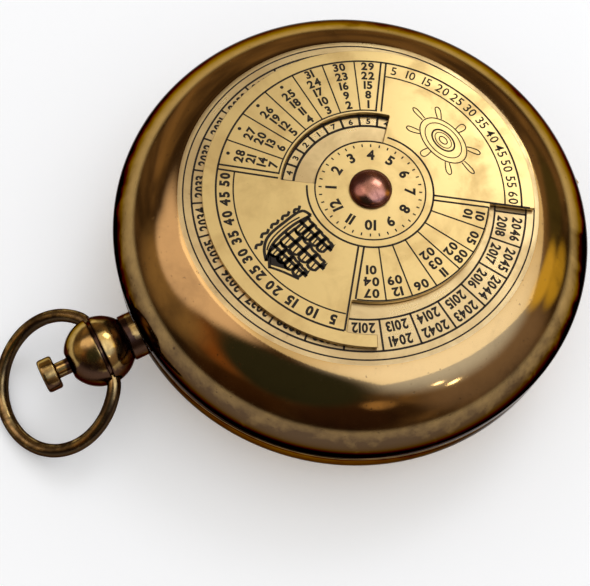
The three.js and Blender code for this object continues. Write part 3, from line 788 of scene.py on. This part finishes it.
class Engraving:
    """Lines, figures and numbers in one flat layer, each a thin closed plate."""

    def __init__(self, surface):
        self.bottom = surface - ink_sink
        self.top = surface + ink_rise
        self.points = []
        self.faces = []
        self.count = 0

    def add(self, points, faces):
        self.points.append(points)
        self.faces += [[i + self.count for i in f] for f in faces]
        self.count += len(points)

    def line(self, path, width=line_width):
        """A band of one width along a path: each point moves half the width to either side."""
        path = np.asarray(path, float)
        run = np.gradient(path, axis=0)
        run /= np.maximum(np.linalg.norm(run, axis=1), 1e-9)[:, None]
        aside = np.stack([-run[:, 1], run[:, 0]], 1) * width / 2
        left, right = path + aside, path - aside
        heights = (self.bottom, self.bottom, self.top, self.top)
        points = np.stack(list(map(raised, (left, right, right, left), heights)), 1)
        last = 4 * (len(path) - 1)
        faces = [f[::-1] for f in grid_faces(len(path), 4).tolist()]
        faces += [[0, 1, 2, 3], [last + 3, last + 2, last + 1, last]]
        self.add(points.reshape(-1, 3), faces)

    def figure(self, loop):
        """A filled outline, without holes, that runs anticlockwise."""
        loop = np.asarray(loop, float)
        size = len(loop)
        points = np.concatenate([raised(loop, self.bottom), raised(loop, self.top)])
        faces = grid_faces(2, size).tolist()
        for up in filled([loop]):
            faces.append([i + size for i in up])
            faces.append(up[::-1])
        self.add(points, faces)

    def dot(self, centre, radius, sides=14):
        self.figure(polar(radius, 360 * np.arange(sides) / sides, centre))

    def circle(self, radius, centre=(0, 0), width=line_width, start=0, end=360):
        self.line(arc(radius, start, end, centre), width)

    def spoke(self, inner, outer, degrees, centre=(0, 0), width=line_width, shift=0.0):
        """A straight radial line, moved sideways by the shift."""
        ends = polar(np.array([inner, outer]), degrees, centre)
        ends += polar(shift, degrees + 90)
        self.line(ends, width)

    def number(self, text, at, up, height, squeeze=0.9, gap=0.1, weight=0.04):
        """Characters side by side round a middle point; up is the direction of their tops, in degrees,
        and weight is added to each side of their strokes."""
        shapes = [glyph(c, weight) for c in str(text)]
        widths = [s["width"] * squeeze + gap for s in shapes]
        x = -(sum(widths) - gap) / 2
        for shape, width in zip(shapes, widths):
            flat = shape["points"][:, :2] * [squeeze, 1] + [x, -0.5]
            level = np.where(shape["points"][:, 2] > 0, self.top, self.bottom)
            self.add(np.column_stack([flat * height @ turning(up - 90) + at, level]), shape["faces"])
            x += width

    def done(self, name, finish, body, slot):
        fix(make(name, np.concatenate(self.points), self.faces, finish, smooth_angle=20), body, slot)


glyphs = {}


def glyph(character, weight):
    """A character as a closed plate, one unit high, standing on y = 0 from x = 0."""
    if (character, weight) not in glyphs:
        text = bpy.data.curves.new("character", "FONT")
        text.body = character
        text.extrude = 0.01
        text.offset = weight
        text.resolution_u = 3
        carrier = bpy.data.objects.new("character", text)
        bpy.context.scene.collection.objects.link(carrier)
        mesh = evaluated(carrier)
        bpy.data.objects.remove(carrier)
        edit = bmesh.new()
        edit.from_mesh(mesh)
        bmesh.ops.remove_doubles(edit, verts=edit.verts, dist=1e-5)
        bmesh.ops.recalc_face_normals(edit, faces=edit.faces)
        edit.to_mesh(mesh)
        edit.free()
        points = gathered(mesh.vertices, "co")
        points[:, :2] -= points[:, :2].min(0)
        height = points[:, 1].max()
        points[:, :2] /= height
        faces = [list(p.vertices) for p in mesh.polygons]
        glyphs[character, weight] = {"points": points, "faces": faces, "width": points[:, 0].max()}
    return glyphs[character, weight]


# Calendar layout, in millimetres and degrees round the rivet

rim_line = 15.3
band_line = 13.6
month_rim = 11.95
date_inner = 9.25
hub_line = 5.55
hub_outer_line = 6.35
date_lines = [-34.0, -23.2, -10.3, 2.6, 15.8, 28.9, 41.9, 53.0]
month_lines = [143.9, 157.4, 169.9, 182.6, 196.9, 208.2, 221.8, 234.1]
border_half = 0.27
wheel_sector = (-123.8, -36.0)
ship_sector = (55.0, 140.3)
figure_reach = 9.72
wheel_angle = -80.4
ship_angle = 100.8
months = [(1, 4, 7), (9, 12), (6,), (2, 3, 11), (2, 8), (5,), (1, 10)]

# The double lines between the sectors: angle, inner end, and outer end of the first and second line
borders = (
    (-35.0, date_inner, rim_line, rim_line),
    (54.0, date_inner, rim_line, rim_line),
    (142.0, hub_outer_line, rim_line, month_rim),
    (235.2, hub_outer_line, month_rim, disc_radius - 0.5),
)


def calendar_marks():
    """Lines and numbers on the calendar disc."""
    marks = Engraving(disc_high[2])
    marks.circle(rim_line, pivot, start=wheel_sector[0] - 0.4, end=ship_sector[1] + 0.6)
    for start, end in (wheel_sector, ship_sector):
        marks.circle(band_line, pivot, fine_line, start, end)
    marks.circle(hub_line, pivot, fine_line)
    marks.circle(hub_outer_line, pivot, line_width, window_end + 3, window_start + 360 - 3)
    marks.circle(date_inner, pivot, fine_line, date_lines[0], date_lines[-1])
    marks.circle(month_rim, pivot, fine_line, month_lines[0], month_lines[-1])
    for side in (0, 1):
        for angle, inner, *outer in borders:
            marks.spoke(inner, outer[side], angle, pivot, shift=(2 * side - 1) * border_half)
    date_columns(marks)
    month_columns(marks)
    number_bands(marks)
    hub_scale(marks)
    ships_wheel(marks)
    sailing_ship(marks)
    marks.done("calendar_marks", wax, "calendar", "black_fill")


def date_columns(marks):
    """Seven columns of dates, 1 to 7 at the inner end and a week more with each row outwards."""
    rows, row_inner, row_pitch, height = 5, 9.98, 1.17, 0.98
    for column, (start, end) in enumerate(zip(date_lines, date_lines[1:])):
        middle = (start + end) / 2
        if column:
            marks.spoke(date_inner, rim_line, start, pivot, fine_line)
        for row in range(rows):
            date = column + 1 + 7 * row
            at = polar(row_inner + row * row_pitch, middle, pivot)
            if date <= 31:
                marks.number(date, at, middle, height, 1.0)
            else:
                marks.dot(at, 0.19)


def month_columns(marks):
    """Seven columns of month numbers, filled from the rim inwards."""
    row_outer, row_pitch, height = 11.2, 1.22, 0.96
    for group, start, end in zip(months, month_lines, month_lines[1:]):
        middle = (start + end) / 2
        if start != month_lines[0]:
            marks.spoke(hub_outer_line, month_rim, start, pivot, fine_line)
        for row, month in enumerate(reversed(group)):
            at = polar(row_outer - row * row_pitch, middle, pivot)
            marks.number(f"{month:02d}", at, middle, height, 1.1)


def number_bands(marks):
    """Numbers by fives in each band along the rim, fine by the wheel and bold by the ship."""
    band_middle = (rim_line + band_line) / 2
    bands = ((wheel_sector, 12, 1.0, 0.012), (ship_sector, 10, 1.05, 0.05))
    for (start, end), count, height, weight in bands:
        for i in range(count):
            at = start + (end - start) * (i + 0.5) / count
            marks.number(5 * (count - i), polar(band_middle, at, pivot), at, height, 1.0, 0.16, weight)


def hub_scale(marks):
    """Twelve numbers and a ring of ticks round the rivet."""
    reach, height, tick_inner, tick_outer = 3.95, 1.15, 4.88, 5.2
    for i in range(12):
        angle = 60 - 30 * i
        marks.number(i + 1, polar(reach, angle, pivot), angle, height, 1.0)
        for part in (-10, 0, 10):
            marks.spoke(tick_inner, tick_outer, angle + part, pivot, 0.14)


def drawing_place(angle, lean, stretch=1.0):
    """A function that puts a drawing's points on the disc: stretched along x, turned, and moved to
    the place for figures at an angle round the rivet."""
    middle = polar(figure_reach, angle, pivot)

    def spot(points):
        return np.asarray(points, float) * [stretch, 1] @ turning(angle + lean) + middle

    return spot


def ships_wheel(marks):
    """A ship's wheel, drawn as an oval along the disc's edge: rings (1.6 r cos a, r sin a) and eight
    handles round them."""
    stretch = 1.6
    spot = drawing_place(wheel_angle, 90, stretch)
    for radius, width in ((1.88, 0.13), (1.46, 0.11), (0.9, 0.18), (0.66, 0.1), (0.32, 0.12)):
        marks.line(spot(arc(radius, 0, 360)), width)
    for angle in range(0, 360, 45):
        along, aside = polar(1, angle), polar(1, angle + 90) / stretch
        loop = [
            along * far + aside * near_side
            for far, near_side in (
                (1.95, 0.26), (2.5, 0.36), (2.85, 0.3), (3.0, 0), (2.85, -0.3), (2.5, -0.36), (1.95, -0.26),
            )
        ]
        marks.line(through(spot(loop), 4), 0.12)


def sailing_ship(marks):
    """A three-masted ship under square sails: a planked hull, masts, bellied sails, a jib and waves."""
    spot = drawing_place(ship_angle, 5)
    keel = through([[-3.3, -1.1], [-3.0, -2.0], [-0.8, -2.3], [1.5, -2.2], [2.6, -1.5], [3.3, -0.5]], 5)
    deck = through([[3.3, -0.5], [1.6, -1.35], [-1.2, -1.5], [-3.3, -1.1]], 5)
    marks.line(spot(np.concatenate([keel, deck])), 0.3)
    marks.line(spot(deck[2:-2] * [0.93, 1] - [0, 0.4]), 0.16)
    marks.line(spot([[2.5, -0.95], [3.6, 0.3]]), 0.3)
    marks.line(spot(through([[3.5, 0.2], [2.95, 1.3], [2.3, 3.0]], 4)), 0.24)
    marks.figure(spot([[2.5, -0.8], [3.3, 0.05], [2.35, 1.7], [2.0, 0.2]]))
    masts = ((-2.05, -1.4, 3.0, 0.95), (-0.15, -1.45, 3.9, 1.0), (1.6, -1.35, 3.3, 0.78))
    for mast, foot, head, half in masts:
        marks.line(spot([[mast, foot], [mast, head]]), 0.34)
        marks.figure(spot([[mast, head], [mast - 0.8, head - 0.25], [mast, head - 0.5]]))
        rows = 4
        pitch = (head - foot - 0.7) / rows
        for row in range(rows):
            square_sail(marks, spot, mast, foot + 0.35 + row * pitch, pitch * 0.86, half - 0.07 * row)
    waves = ((-3.2, -2.6, 1.0), (-2.0, -2.85, 1.2), (-0.6, -2.9, 1.2), (0.8, -2.8, 1.2), (2.1, -2.3, 1.1))
    for x, y, reach in waves:
        wave = [[x, y], [x + reach / 3, y + 0.2], [x + reach * 2 / 3, y], [x + reach, y + 0.24]]
        marks.line(spot(through(wave, 4)), 0.3)


def square_sail(marks, spot, mast, low, height, half):
    """A sail in outline with a seam: straight at the mast's left and bellied to its right."""
    t = np.linspace(0, 1, 7)
    belly = 0.18 * np.sin(np.pi * t)
    right = np.column_stack([mast + half * (1 - 0.12 * t) + belly, low + height * t])
    left = np.column_stack([mast - half * (0.88 + 0.12 * t) + belly, low + height * (1 - t)])
    marks.line(spot(np.concatenate([right, left, right[:1]])), 0.3)
    marks.line(spot([[mast + 0.1, low + height * 0.45], [mast + half, low + height * 0.55]]), 0.16)


# Lid layout, in millimetres and degrees, the years round the middle of the lid and the weekdays round
# the rivet

year_inner = 13.6
year_outer = 16.78
year_rows = (14.42, 15.92)
edge_line = 17.62
weekday_inner = 7.72
weekday_outer = 8.84
cells = 28
first_line = 3.45
first_year = 2001
years_shown = 50


def lid_marks():
    """Two rings of 28 cells on the lid's flat top: years outside, weekday numbers inside."""
    marks = Engraving(lid_top)
    marks.circle(edge_line, width=fine_line)
    for radius in (year_inner, year_outer):
        marks.circle(radius)
    marks.circle(weekday_inner, pivot, 0.26)
    marks.circle(weekday_outer, pivot)
    pitch = 360 / cells
    for cell in range(cells):
        edge = first_line + pitch * cell
        marks.spoke(year_inner, year_outer, edge)
        marks.spoke(weekday_inner, weekday_outer, edge, pivot, 0.24)
        middle = edge + pitch / 2
        weekday_at = polar((weekday_inner + weekday_outer) / 2, middle, pivot)
        for row, radius in enumerate(year_rows):
            year = first_year + cell + cells * row
            if year < first_year + years_shown:
                marks.number(year, polar(radius, middle), middle, 1.06, 0.86, 0.07)
        marks.number(cell % 7 + 1, weekday_at, middle, 0.66, 1.1)
    marks.done("lid_marks", wax, "lid", "black_fill")


def rivet():
    """The rivet: a tail inside the lid, a shank and a round head on the disc."""
    shank, head_radius, head_bottom = 1.0, (rivet_high[0] - rivet_low[0]) / 2, disc_high[2] + 0.15
    tail_radius, tail_bottom, tail_top = 1.6, rivet_low[2], rivet_low[2] + 0.6
    outline = np.concatenate([
        [[0, tail_bottom], [tail_radius, tail_bottom], [tail_radius, tail_top]],
        [[shank, tail_top], [shank, head_bottom]],
        oval((0, head_bottom), head_radius, rivet_high[2] - head_bottom, 0, 90, 24),
    ])
    middle = (*pivot, 0)
    lathe("rivet_head", outline, 0.1, copper, 72, "lid", "copper", "calendar_rivet", middle=middle)


# Pendant, button and bow


def pendant():
    """The pendant: a collar, a narrow valley and a grooved ball with the button's bore."""
    start, collar_end = case_radius - 1, ball_valley - 0.05

    def sphere(low, high):
        ends = [math.asin((y - ball_middle) / ball_radius) for y in (low, high)]
        t = np.linspace(*ends, 24)
        return np.stack([ball_radius * np.cos(t), ball_middle + ball_radius * np.sin(t)], 1)

    groove_low, groove_high = ball_middle - groove_width / 2, ball_middle + groove_width / 2
    groove_radius = ball_radius - groove_depth
    bore = stem_radius + bore_gap
    profile = np.concatenate([
        [[chamber_radius, start], [collar_radius, start]],
        [[collar_radius, collar_end], [valley_radius, collar_end]],
        sphere(ball_valley, groove_low),
        [[groove_radius, groove_low], [groove_radius, groove_high]],
        sphere(groove_high, ball_end),
        [[bore, ball_end], [bore, chamber_end], [chamber_radius, chamber_end]],
    ])
    body = turned("pendant_ball", softened(profile, 0.12, closed=True), aged, 128, "Y", (0, 0, button_height))
    cutters = [round_cutter(case_radius + 0.05, 8, (0, 0, button_height), "Z")]
    half_length = (ball_radius + 1 - bow_hole_end) / 2
    for side in (-1, 1):
        middle = (side * (bow_hole_end + half_length), ball_middle, button_height)
        cutters.append(round_cutter(bow_wire_radius + bore_gap, half_length, middle, "X"))
    fix(cut(body, cutters), "case", "aged_brass", "pendant")


def button():
    """The button: a stem with a shoulder, and a flat head with rounded edges."""
    along = {"axis": "Y", "middle": (0, 0, button_height)}
    start, end = cap_low[1], cap_high[1]
    radius = (cap_high[0] - cap_low[0]) / 2
    socket, depth = stem_radius + 0.1, 1.0
    outline = [
        [0, start + depth], [socket, start + depth], [socket, start], [radius, start],
        [radius, end - 0.06], [radius * 0.55, end - 0.01], [0, end],
    ]
    lathe("button_head", outline, 0.34, aged, 96, "button", "aged_brass", "button_cap", steps=7, **along)
    start, end = stem_low[1], stem_high[1]
    shoulder, inner = 1.2, 0.6
    shoulder_outer = chamber_end - 0.3
    shoulder_inner = shoulder_outer - 0.6
    outline = [
        [0, start], [inner, start], [inner, shoulder_inner], [shoulder, shoulder_inner],
        [shoulder, shoulder_outer], [stem_radius, shoulder_outer], [stem_radius, end], [0, end],
    ]
    lathe("button_rod", outline, 0.1, aged, 64, "button", "aged_brass", "button_stem", **along)


def coil():
    """The button's spring: a helix (R cos a, y0 + pitch a / 2 pi, R sin a), five turns."""
    radius = (coil_high[0] - coil_low[0]) / 2 - spring_wire_radius
    start, end = coil_low[1] + spring_wire_radius, coil_high[1] - spring_wire_radius
    t = np.linspace(0, 1, spring_turns * 40)
    a = 2 * np.pi * spring_turns * t
    x, z = radius * np.cos(a), button_height + radius * np.sin(a)
    path = np.column_stack([x, start + (end - start) * t, z])
    piece = wire("spring_coil", path, spring_wire_radius, steel, (0, 1, 0), 12)
    fix(piece, "case", "steel", "button_spring")
    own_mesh(piece)


def bow():
    """The bow: a round wire bent to an open ring, with a short foot in each side of the ball. It lies in
    its own plane and hangs down by its drop about the cross holes."""
    centre = math.sqrt(bow_radius**2 - bow_foot_spread**2)
    drop = math.asin((button_height - bow_wire_radius - bow_floor_gap) / (centre + bow_radius))
    first = math.degrees(math.asin(-centre / bow_radius)) + 6
    ring = polar(bow_radius, np.linspace(first, 180 - first, 15), (0, centre))
    middle = (bow_pin_end + bow_foot_spread) / 2
    feet = np.array([[bow_pin_end, 0], [middle, 0]])
    knots = np.concatenate([feet, ring, feet[::-1] * [-1, 1]])
    flat = through(knots, 16)
    c, s = math.cos(drop), math.sin(drop)
    path = np.column_stack([flat[:, 0], ball_middle + flat[:, 1] * c, button_height - flat[:, 1] * s])
    fix(wire("bow_wire", path, bow_wire_radius, bow_brass, (0, s, c), 32), "bow", "aged_brass", "bow")


def through(knots, steps):
    """A smooth curve through knots: the centripetal form of the cubic between each pair."""
    knots = np.asarray(knots, float)
    k = np.concatenate([[2 * knots[0] - knots[1]], knots, [2 * knots[-1] - knots[-2]]])
    times = np.concatenate([[0], np.cumsum(np.linalg.norm(np.diff(k, axis=0), axis=1) ** 0.5)])
    out = []
    for i in range(1, len(k) - 2):
        t0, t1, t2, t3 = times[i - 1 : i + 3]
        p0, p1, p2, p3 = k[i - 1 : i + 3]
        t = np.linspace(t1, t2, steps + 1)[:-1, None]
        a1 = (t1 - t) / (t1 - t0) * p0 + (t - t0) / (t1 - t0) * p1
        a2 = (t2 - t) / (t2 - t1) * p1 + (t - t1) / (t2 - t1) * p2
        a3 = (t3 - t) / (t3 - t2) * p2 + (t - t2) / (t3 - t2) * p3
        b1 = (t2 - t) / (t2 - t0) * a1 + (t - t0) / (t2 - t0) * a2
        b2 = (t3 - t) / (t3 - t1) * a2 + (t - t1) / (t3 - t1) * a3
        out.append((t2 - t) / (t2 - t1) * b1 + (t - t1) / (t2 - t1) * b2)
    return np.concatenate(out + [knots[-1:]])


# Compass


def compass():
    """The bowl, card, needle, glass and bezel under the lid."""
    outer, inner = bowl_high[0], dial_radius + 0.3
    bottom, top = bowl_low[2], bowl_high[2]
    chamfer, bowl_floor = 0.8, bottom + 0.7
    outline = [
        [0, bottom], [outer - chamfer, bottom], [outer, bottom + chamfer], [outer, top],
        [inner, top], [inner, bowl_floor], [0, bowl_floor],
    ]
    lathe("bowl_shell", outline, 0.1, inside, 200, "case", "satin_brass", "compass_bowl")
    hole, margin = 1.1, 0.2
    bottom, top = card_low[2], card_high[2]
    outline = [
        [hole, bottom], [dial_radius, bottom], [dial_radius, top],
        [dial_radius - margin, top], [hole + margin, top], [hole, top],
    ]
    lathe("card_sheet", outline, 0.04, card, 200, "case", "card", "dial_card")
    outline = section(bezel_inner, dial_radius, spacer_low[2], spacer_high[2])
    lathe("spacer_band", outline, 0.12, inside, 200, "case", "satin_brass", "spacer_ring")
    flat_edge = dial_radius - 0.4
    bottom, top = glass_low[2], glass_high[2]
    outline = [
        [0, bottom], [flat_edge, bottom], [dial_radius, bottom],
        [dial_radius, top], [flat_edge, top], [0, top],
    ]
    lathe("glass_pane", outline, 0.15, glass, 200, "case", "glass", "glass")
    bezel()
    dial_print()
    needle()


def bezel():
    """The ring over the glass, with a cut for the catch and one for the lift spring."""
    inner, outer = bezel_inner, bezel_high[0]
    bottom, top = bezel_low[2], bezel_high[2]
    slope_width, edge_height, undercut = 0.9, 0.3, 0.1
    catch_half, lift_half = 1.9, 1.7
    profile = softened([
        [inner + undercut, bottom], [outer, bottom], [outer, top],
        [inner + slope_width, top], [inner, bottom + edge_height],
    ], 0.16, closed=True)
    ring = turned("bezel_ring", profile, polished, 240)
    cutters = []
    for side, half in ((1, catch_half), (-1, lift_half)):
        near_end, far_end = sorted((side * bowl_high[0], side * (outer + 1)))
        low, high = (-half, near_end, bottom - 1), (half, far_end, top + 1)
        cutters.append(block("slot", low, high, polished, 0.05))
    fix(cut(ring, cutters), "case", "polished_brass", "bezel")


def star_point(marks, length, half_base, inner, degrees):
    """One point of a compass star: the left half filled and the right half in outline."""
    along, aside = turning(degrees)
    tip, root, heel = along * length, along * inner * 0.05, along * inner
    left, right = heel + aside * half_base, heel - aside * half_base
    marks.figure(np.array([root, tip, left]))
    marks.line(np.array([tip, right, root]), 0.07)


def dial_print():
    """The card's print: a degree ring, numbers each 30 degrees, the four main letters and a star."""
    ink = Engraving(card_high[2])
    edge, tick_end, number_reach, letter_reach, thin = 17.1, 15.9, 15.0, 13.2, 0.07
    for radius, width in ((edge, 0.16), (tick_end, thin), (12.1, thin), (4.4, thin)):
        ink.circle(radius, width=width)
    for degree in range(0, 360, 2):
        inner, width = (tick_end, 0.11) if degree % 10 == 0 else (16.3 if degree % 4 else 16.5, 0.06)
        ink.spoke(inner, edge, degree, width=width)
    for degree in range(0, 360, 30):
        angle = 90 - degree
        ink.number(degree, polar(number_reach, angle), angle, 1.15, 0.9)
    for degree, letter in zip(range(0, 360, 90), "NESW"):
        angle = 90 - degree
        ink.number(letter, polar(letter_reach, angle), angle, 1.7, 1.0)
    for i in range(16):
        if i % 4:
            length, half_base, inner = (6.6, 0.55, 3.6) if i % 2 else (9.6, 0.9, 3.2)
            star_point(ink, length, half_base, inner, 22.5 * i)
    for i in range(4):
        star_point(ink, 11.7, 1.25, 2.7, 90 * i)
    ink.done("card_print", wax, "case", "black_fill")


def needle():
    """The needle: a long lozenge with blunt tips, the cap's hole and a red inlay on its south half; and
    its turned cap, which sits in the hole and is drilled from below for the pin."""
    half_width, half_length = needle_high[0], needle_high[1]
    half_tip = 0.12
    outline = [
        [half_width, 0], [half_tip, half_length], [-half_tip, half_length],
        [-half_width, 0], [-half_tip, -half_length], [half_tip, -half_length],
    ]
    loops = [softened(outline, 0.09, closed=True), arc(1.15, 360, 0, pitch=8)[:-1]]
    blade = plate("needle_blade", loops, needle_low[2], needle_high[2], blued, 0.04)
    fix(blade, "needle", "blued_steel", "needle")
    inlay = Engraving(needle_high[2])
    base_half, base, tip = half_width * 0.62, -2.2, -half_length * 0.86
    inlay.figure([[-base_half, base], [0, tip], [base_half, base]])
    inlay.done("needle_inlay", red_lacquer, "needle", "red_lacquer")
    hub, rim, bore, rim_edge, rim_height, roof = 0.95, 1.45, 0.6, 0.17, 0.35, 0.5
    bottom, rim_bottom, top = needle_cap_low[2], needle_high[2] + 0.1, needle_cap_high[2]
    outline = [
        [0, top - roof], [bore, bottom], [hub, bottom], [hub, rim_bottom], [rim, rim_bottom],
        [rim, rim_bottom + rim_edge], [hub, rim_bottom + rim_height], [hub - 0.15, top], [0, top],
    ]
    lathe("needle_jewel_cap", outline, 0.06, satin, 56, "needle", "satin_brass", "needle_cap")


# Solids that keep their own shape


def dress_solids():
    """Finishes for the solids that are shown as they are."""
    finishes = {
        "rivet_washer": inside, "catch_spring": steel, "lift_spring": steel, "catch_screw": steel,
        "lift_screw": steel, "dial_plate": inside, "pivot_boss": satin, "pivot_pin": steel,
    }
    for node, finish in finishes.items():
        for slot in frame["nodes"][node].material_slots:
            slot.link = "OBJECT"
            slot.material = finish


for make_part in (
    case_shell, spring_pads, lid_shell, hinge, disc, calendar_marks, lid_marks,
    rivet, pendant, button, coil, bow, compass, dress_solids,
):
    make_part()

# Floor, light and camera


def seen_straight(nodes, *kinds):
    """1 for the named kinds of light ray and 0 for all others."""
    return sum(nodes.node("LightPath", output=f"Is {kind} Ray") for kind in kinds)


def floor():
    """A wide pale floor under the foot, with a little glow where the camera, metal or glass sees it."""
    reach = 30000
    corners = raised(section(-reach, reach, -reach, reach), 0)
    paint = Finish("pale floor", Roughness=0.9, Emission_Strength=1.0)
    straight = seen_straight(paint, "Camera", "Glossy", "Transmission")
    glow = paint.blend(straight, (0, 0, 0), (0.12, 0.12, 0.12))
    finish = paint.set(Base_Color=(0.93, 0.93, 0.93, 1), Emission_Color=glow)
    make("floor", corners, [[0, 1, 2, 3]], finish)


def softbox(name, towards, distance, size, power, colour=(1, 1, 1)):
    """A square lamp that faces the middle of the case from one direction."""
    light = bpy.data.lights.new(name, "AREA")
    light.shape = "RECTANGLE"
    light.size, light.size_y = size
    light.energy = power
    light.color = colour
    lamp = bpy.data.objects.new(name, light)
    away = Vector(towards).normalized()
    lamp.location = away * distance
    lamp.rotation_euler = away.to_track_quat("Z", "Y").to_euler()
    lamp.visible_camera = False
    bpy.context.scene.collection.objects.link(lamp)


# Soft patches of the room that the polished brass mirrors: degrees from overhead and round from +X, the
# reach of their full strength and of their edge in degrees, and their colour
room_patches = (
    (64, 212, 14, 32, (0.26, 0.20, 0.19)),
    (70, 152, 12, 30, (0.045, 0.022, 0.014)),
    (76, 112, 10, 26, (0.06, 0.028, 0.012)),
    (64, 271, 5, 15, (0.08, 0.068, 0.03)),
    (27, 222, 6, 34, (0.76, 0.90, 1.45)),
    (57, 250, 5, 12, (0.80, 0.60, 0.11)),
    (73, 248, 5, 12, (0.70, 0.52, 0.08)),
    (50, 94, 3, 20, (0.26, 0.10, 0.03)),
    (62, 66, 6, 26, (0.34, 0.24, 0.14)),
    (44, 52, 10, 17, (1.00, 0.84, 0.90)),
    (30, 42, 12, 23, (1.00, 0.84, 0.90)),
    (37, 125, 19, 29, (0.030, 0.034, 0.026)),
    (53, 166, 1, 7, (0.46, 0.30, 0.17)),
)


def sky():
    """The room. Diffuse light comes evenly from it, the camera sees it pale, and metal and glass show a
    pale horizon under a dim brown ceiling with soft patches."""
    world = bpy.data.worlds.new("studio")
    bpy.context.scene.world = world
    world.use_nodes = True
    w = Nodes(world.node_tree)
    way = w.node("TexCoord", output="Generated")
    uneven = w.noise(way, 2.2, 3.0, 0.5, 0.5).step(0.35, 0.75)
    room = w.blend(uneven, (0.045, 0.028, 0.018), (0.26, 0.17, 0.10))
    for down, round_from_x, full, edge, colour in room_patches:
        a, b = math.radians(down), math.radians(round_from_x)
        middle = (math.sin(a) * math.cos(b), math.sin(a) * math.sin(b), math.cos(a))
        towards = w.node("VectorMath", {"operation": "DOT_PRODUCT"}, {0: way, 1: middle}, output=1)
        share = towards.step(math.cos(math.radians(edge)), math.cos(math.radians(full)))
        room = w.blend(share, room, colour)
    z = w.parts(way)[2]
    pale = (0.75, 0.75, 0.75)
    room = w.blend(z.step(-0.02, 0.10), pale, room)
    even = w.blend(seen_straight(w, "Diffuse"), room, (0.68, 0.68, 0.68))
    seen = w.blend(seen_straight(w, "Camera", "Transmission"), even, pale)
    w.feed(w.tree.nodes["Background"].inputs["Color"], seen)


def camera():
    """The view: 120 mm off a point 1 mm over the foot's middle, 65 degrees up, with a little roll."""
    distance, focal, image_width, image_height = 120.0, 1058.4, 590, 586
    middle_u, middle_v = 345.8, 257.5
    azimuth, tilt, roll = math.radians(138.85), 0.438, -0.228
    back = Vector((math.sin(tilt) * math.cos(azimuth), math.sin(tilt) * math.sin(azimuth), math.cos(tilt)))
    right = Vector((0, 0, 1)).cross(back).normalized()
    up = back.cross(right)
    c, s = math.cos(roll), math.sin(roll)
    across = c * right - s * up
    above = s * right + c * up
    data = bpy.data.cameras.new("view")
    data.sensor_width = 36
    data.lens = focal / image_width * 36
    data.shift_x = -(middle_u - image_width / 2) / image_width
    data.shift_y = (middle_v - image_height / 2) / image_width
    data.clip_start = 0.002
    eye = bpy.data.objects.new("view", data)
    place = (Vector((0, 0, 1)) + back * distance) * MM
    turn = Matrix((across, above, back)).transposed().to_4x4()
    eye.matrix_world = Matrix.Translation(place) @ turn
    bpy.context.scene.collection.objects.link(eye)
    bpy.context.scene.camera = eye


floor()
sky()
softbox("key light", (0.05, -0.30, 0.95), 0.5, (0.60, 0.50), 0.70)
softbox("glare light", (0.32, -0.52, 0.79), 0.48, (0.14, 0.12), 0.17, (0.95, 1, 1.15))
softbox("spark light", (-0.745, -0.228, 0.627), 0.5, (0.030, 0.020), 0.012)
softbox("second spark light", (-0.687, -0.156, 0.710), 0.5, (0.022, 0.018), 0.007)
camera()
bpy.context.scene.view_settings.view_transform = "Standard"
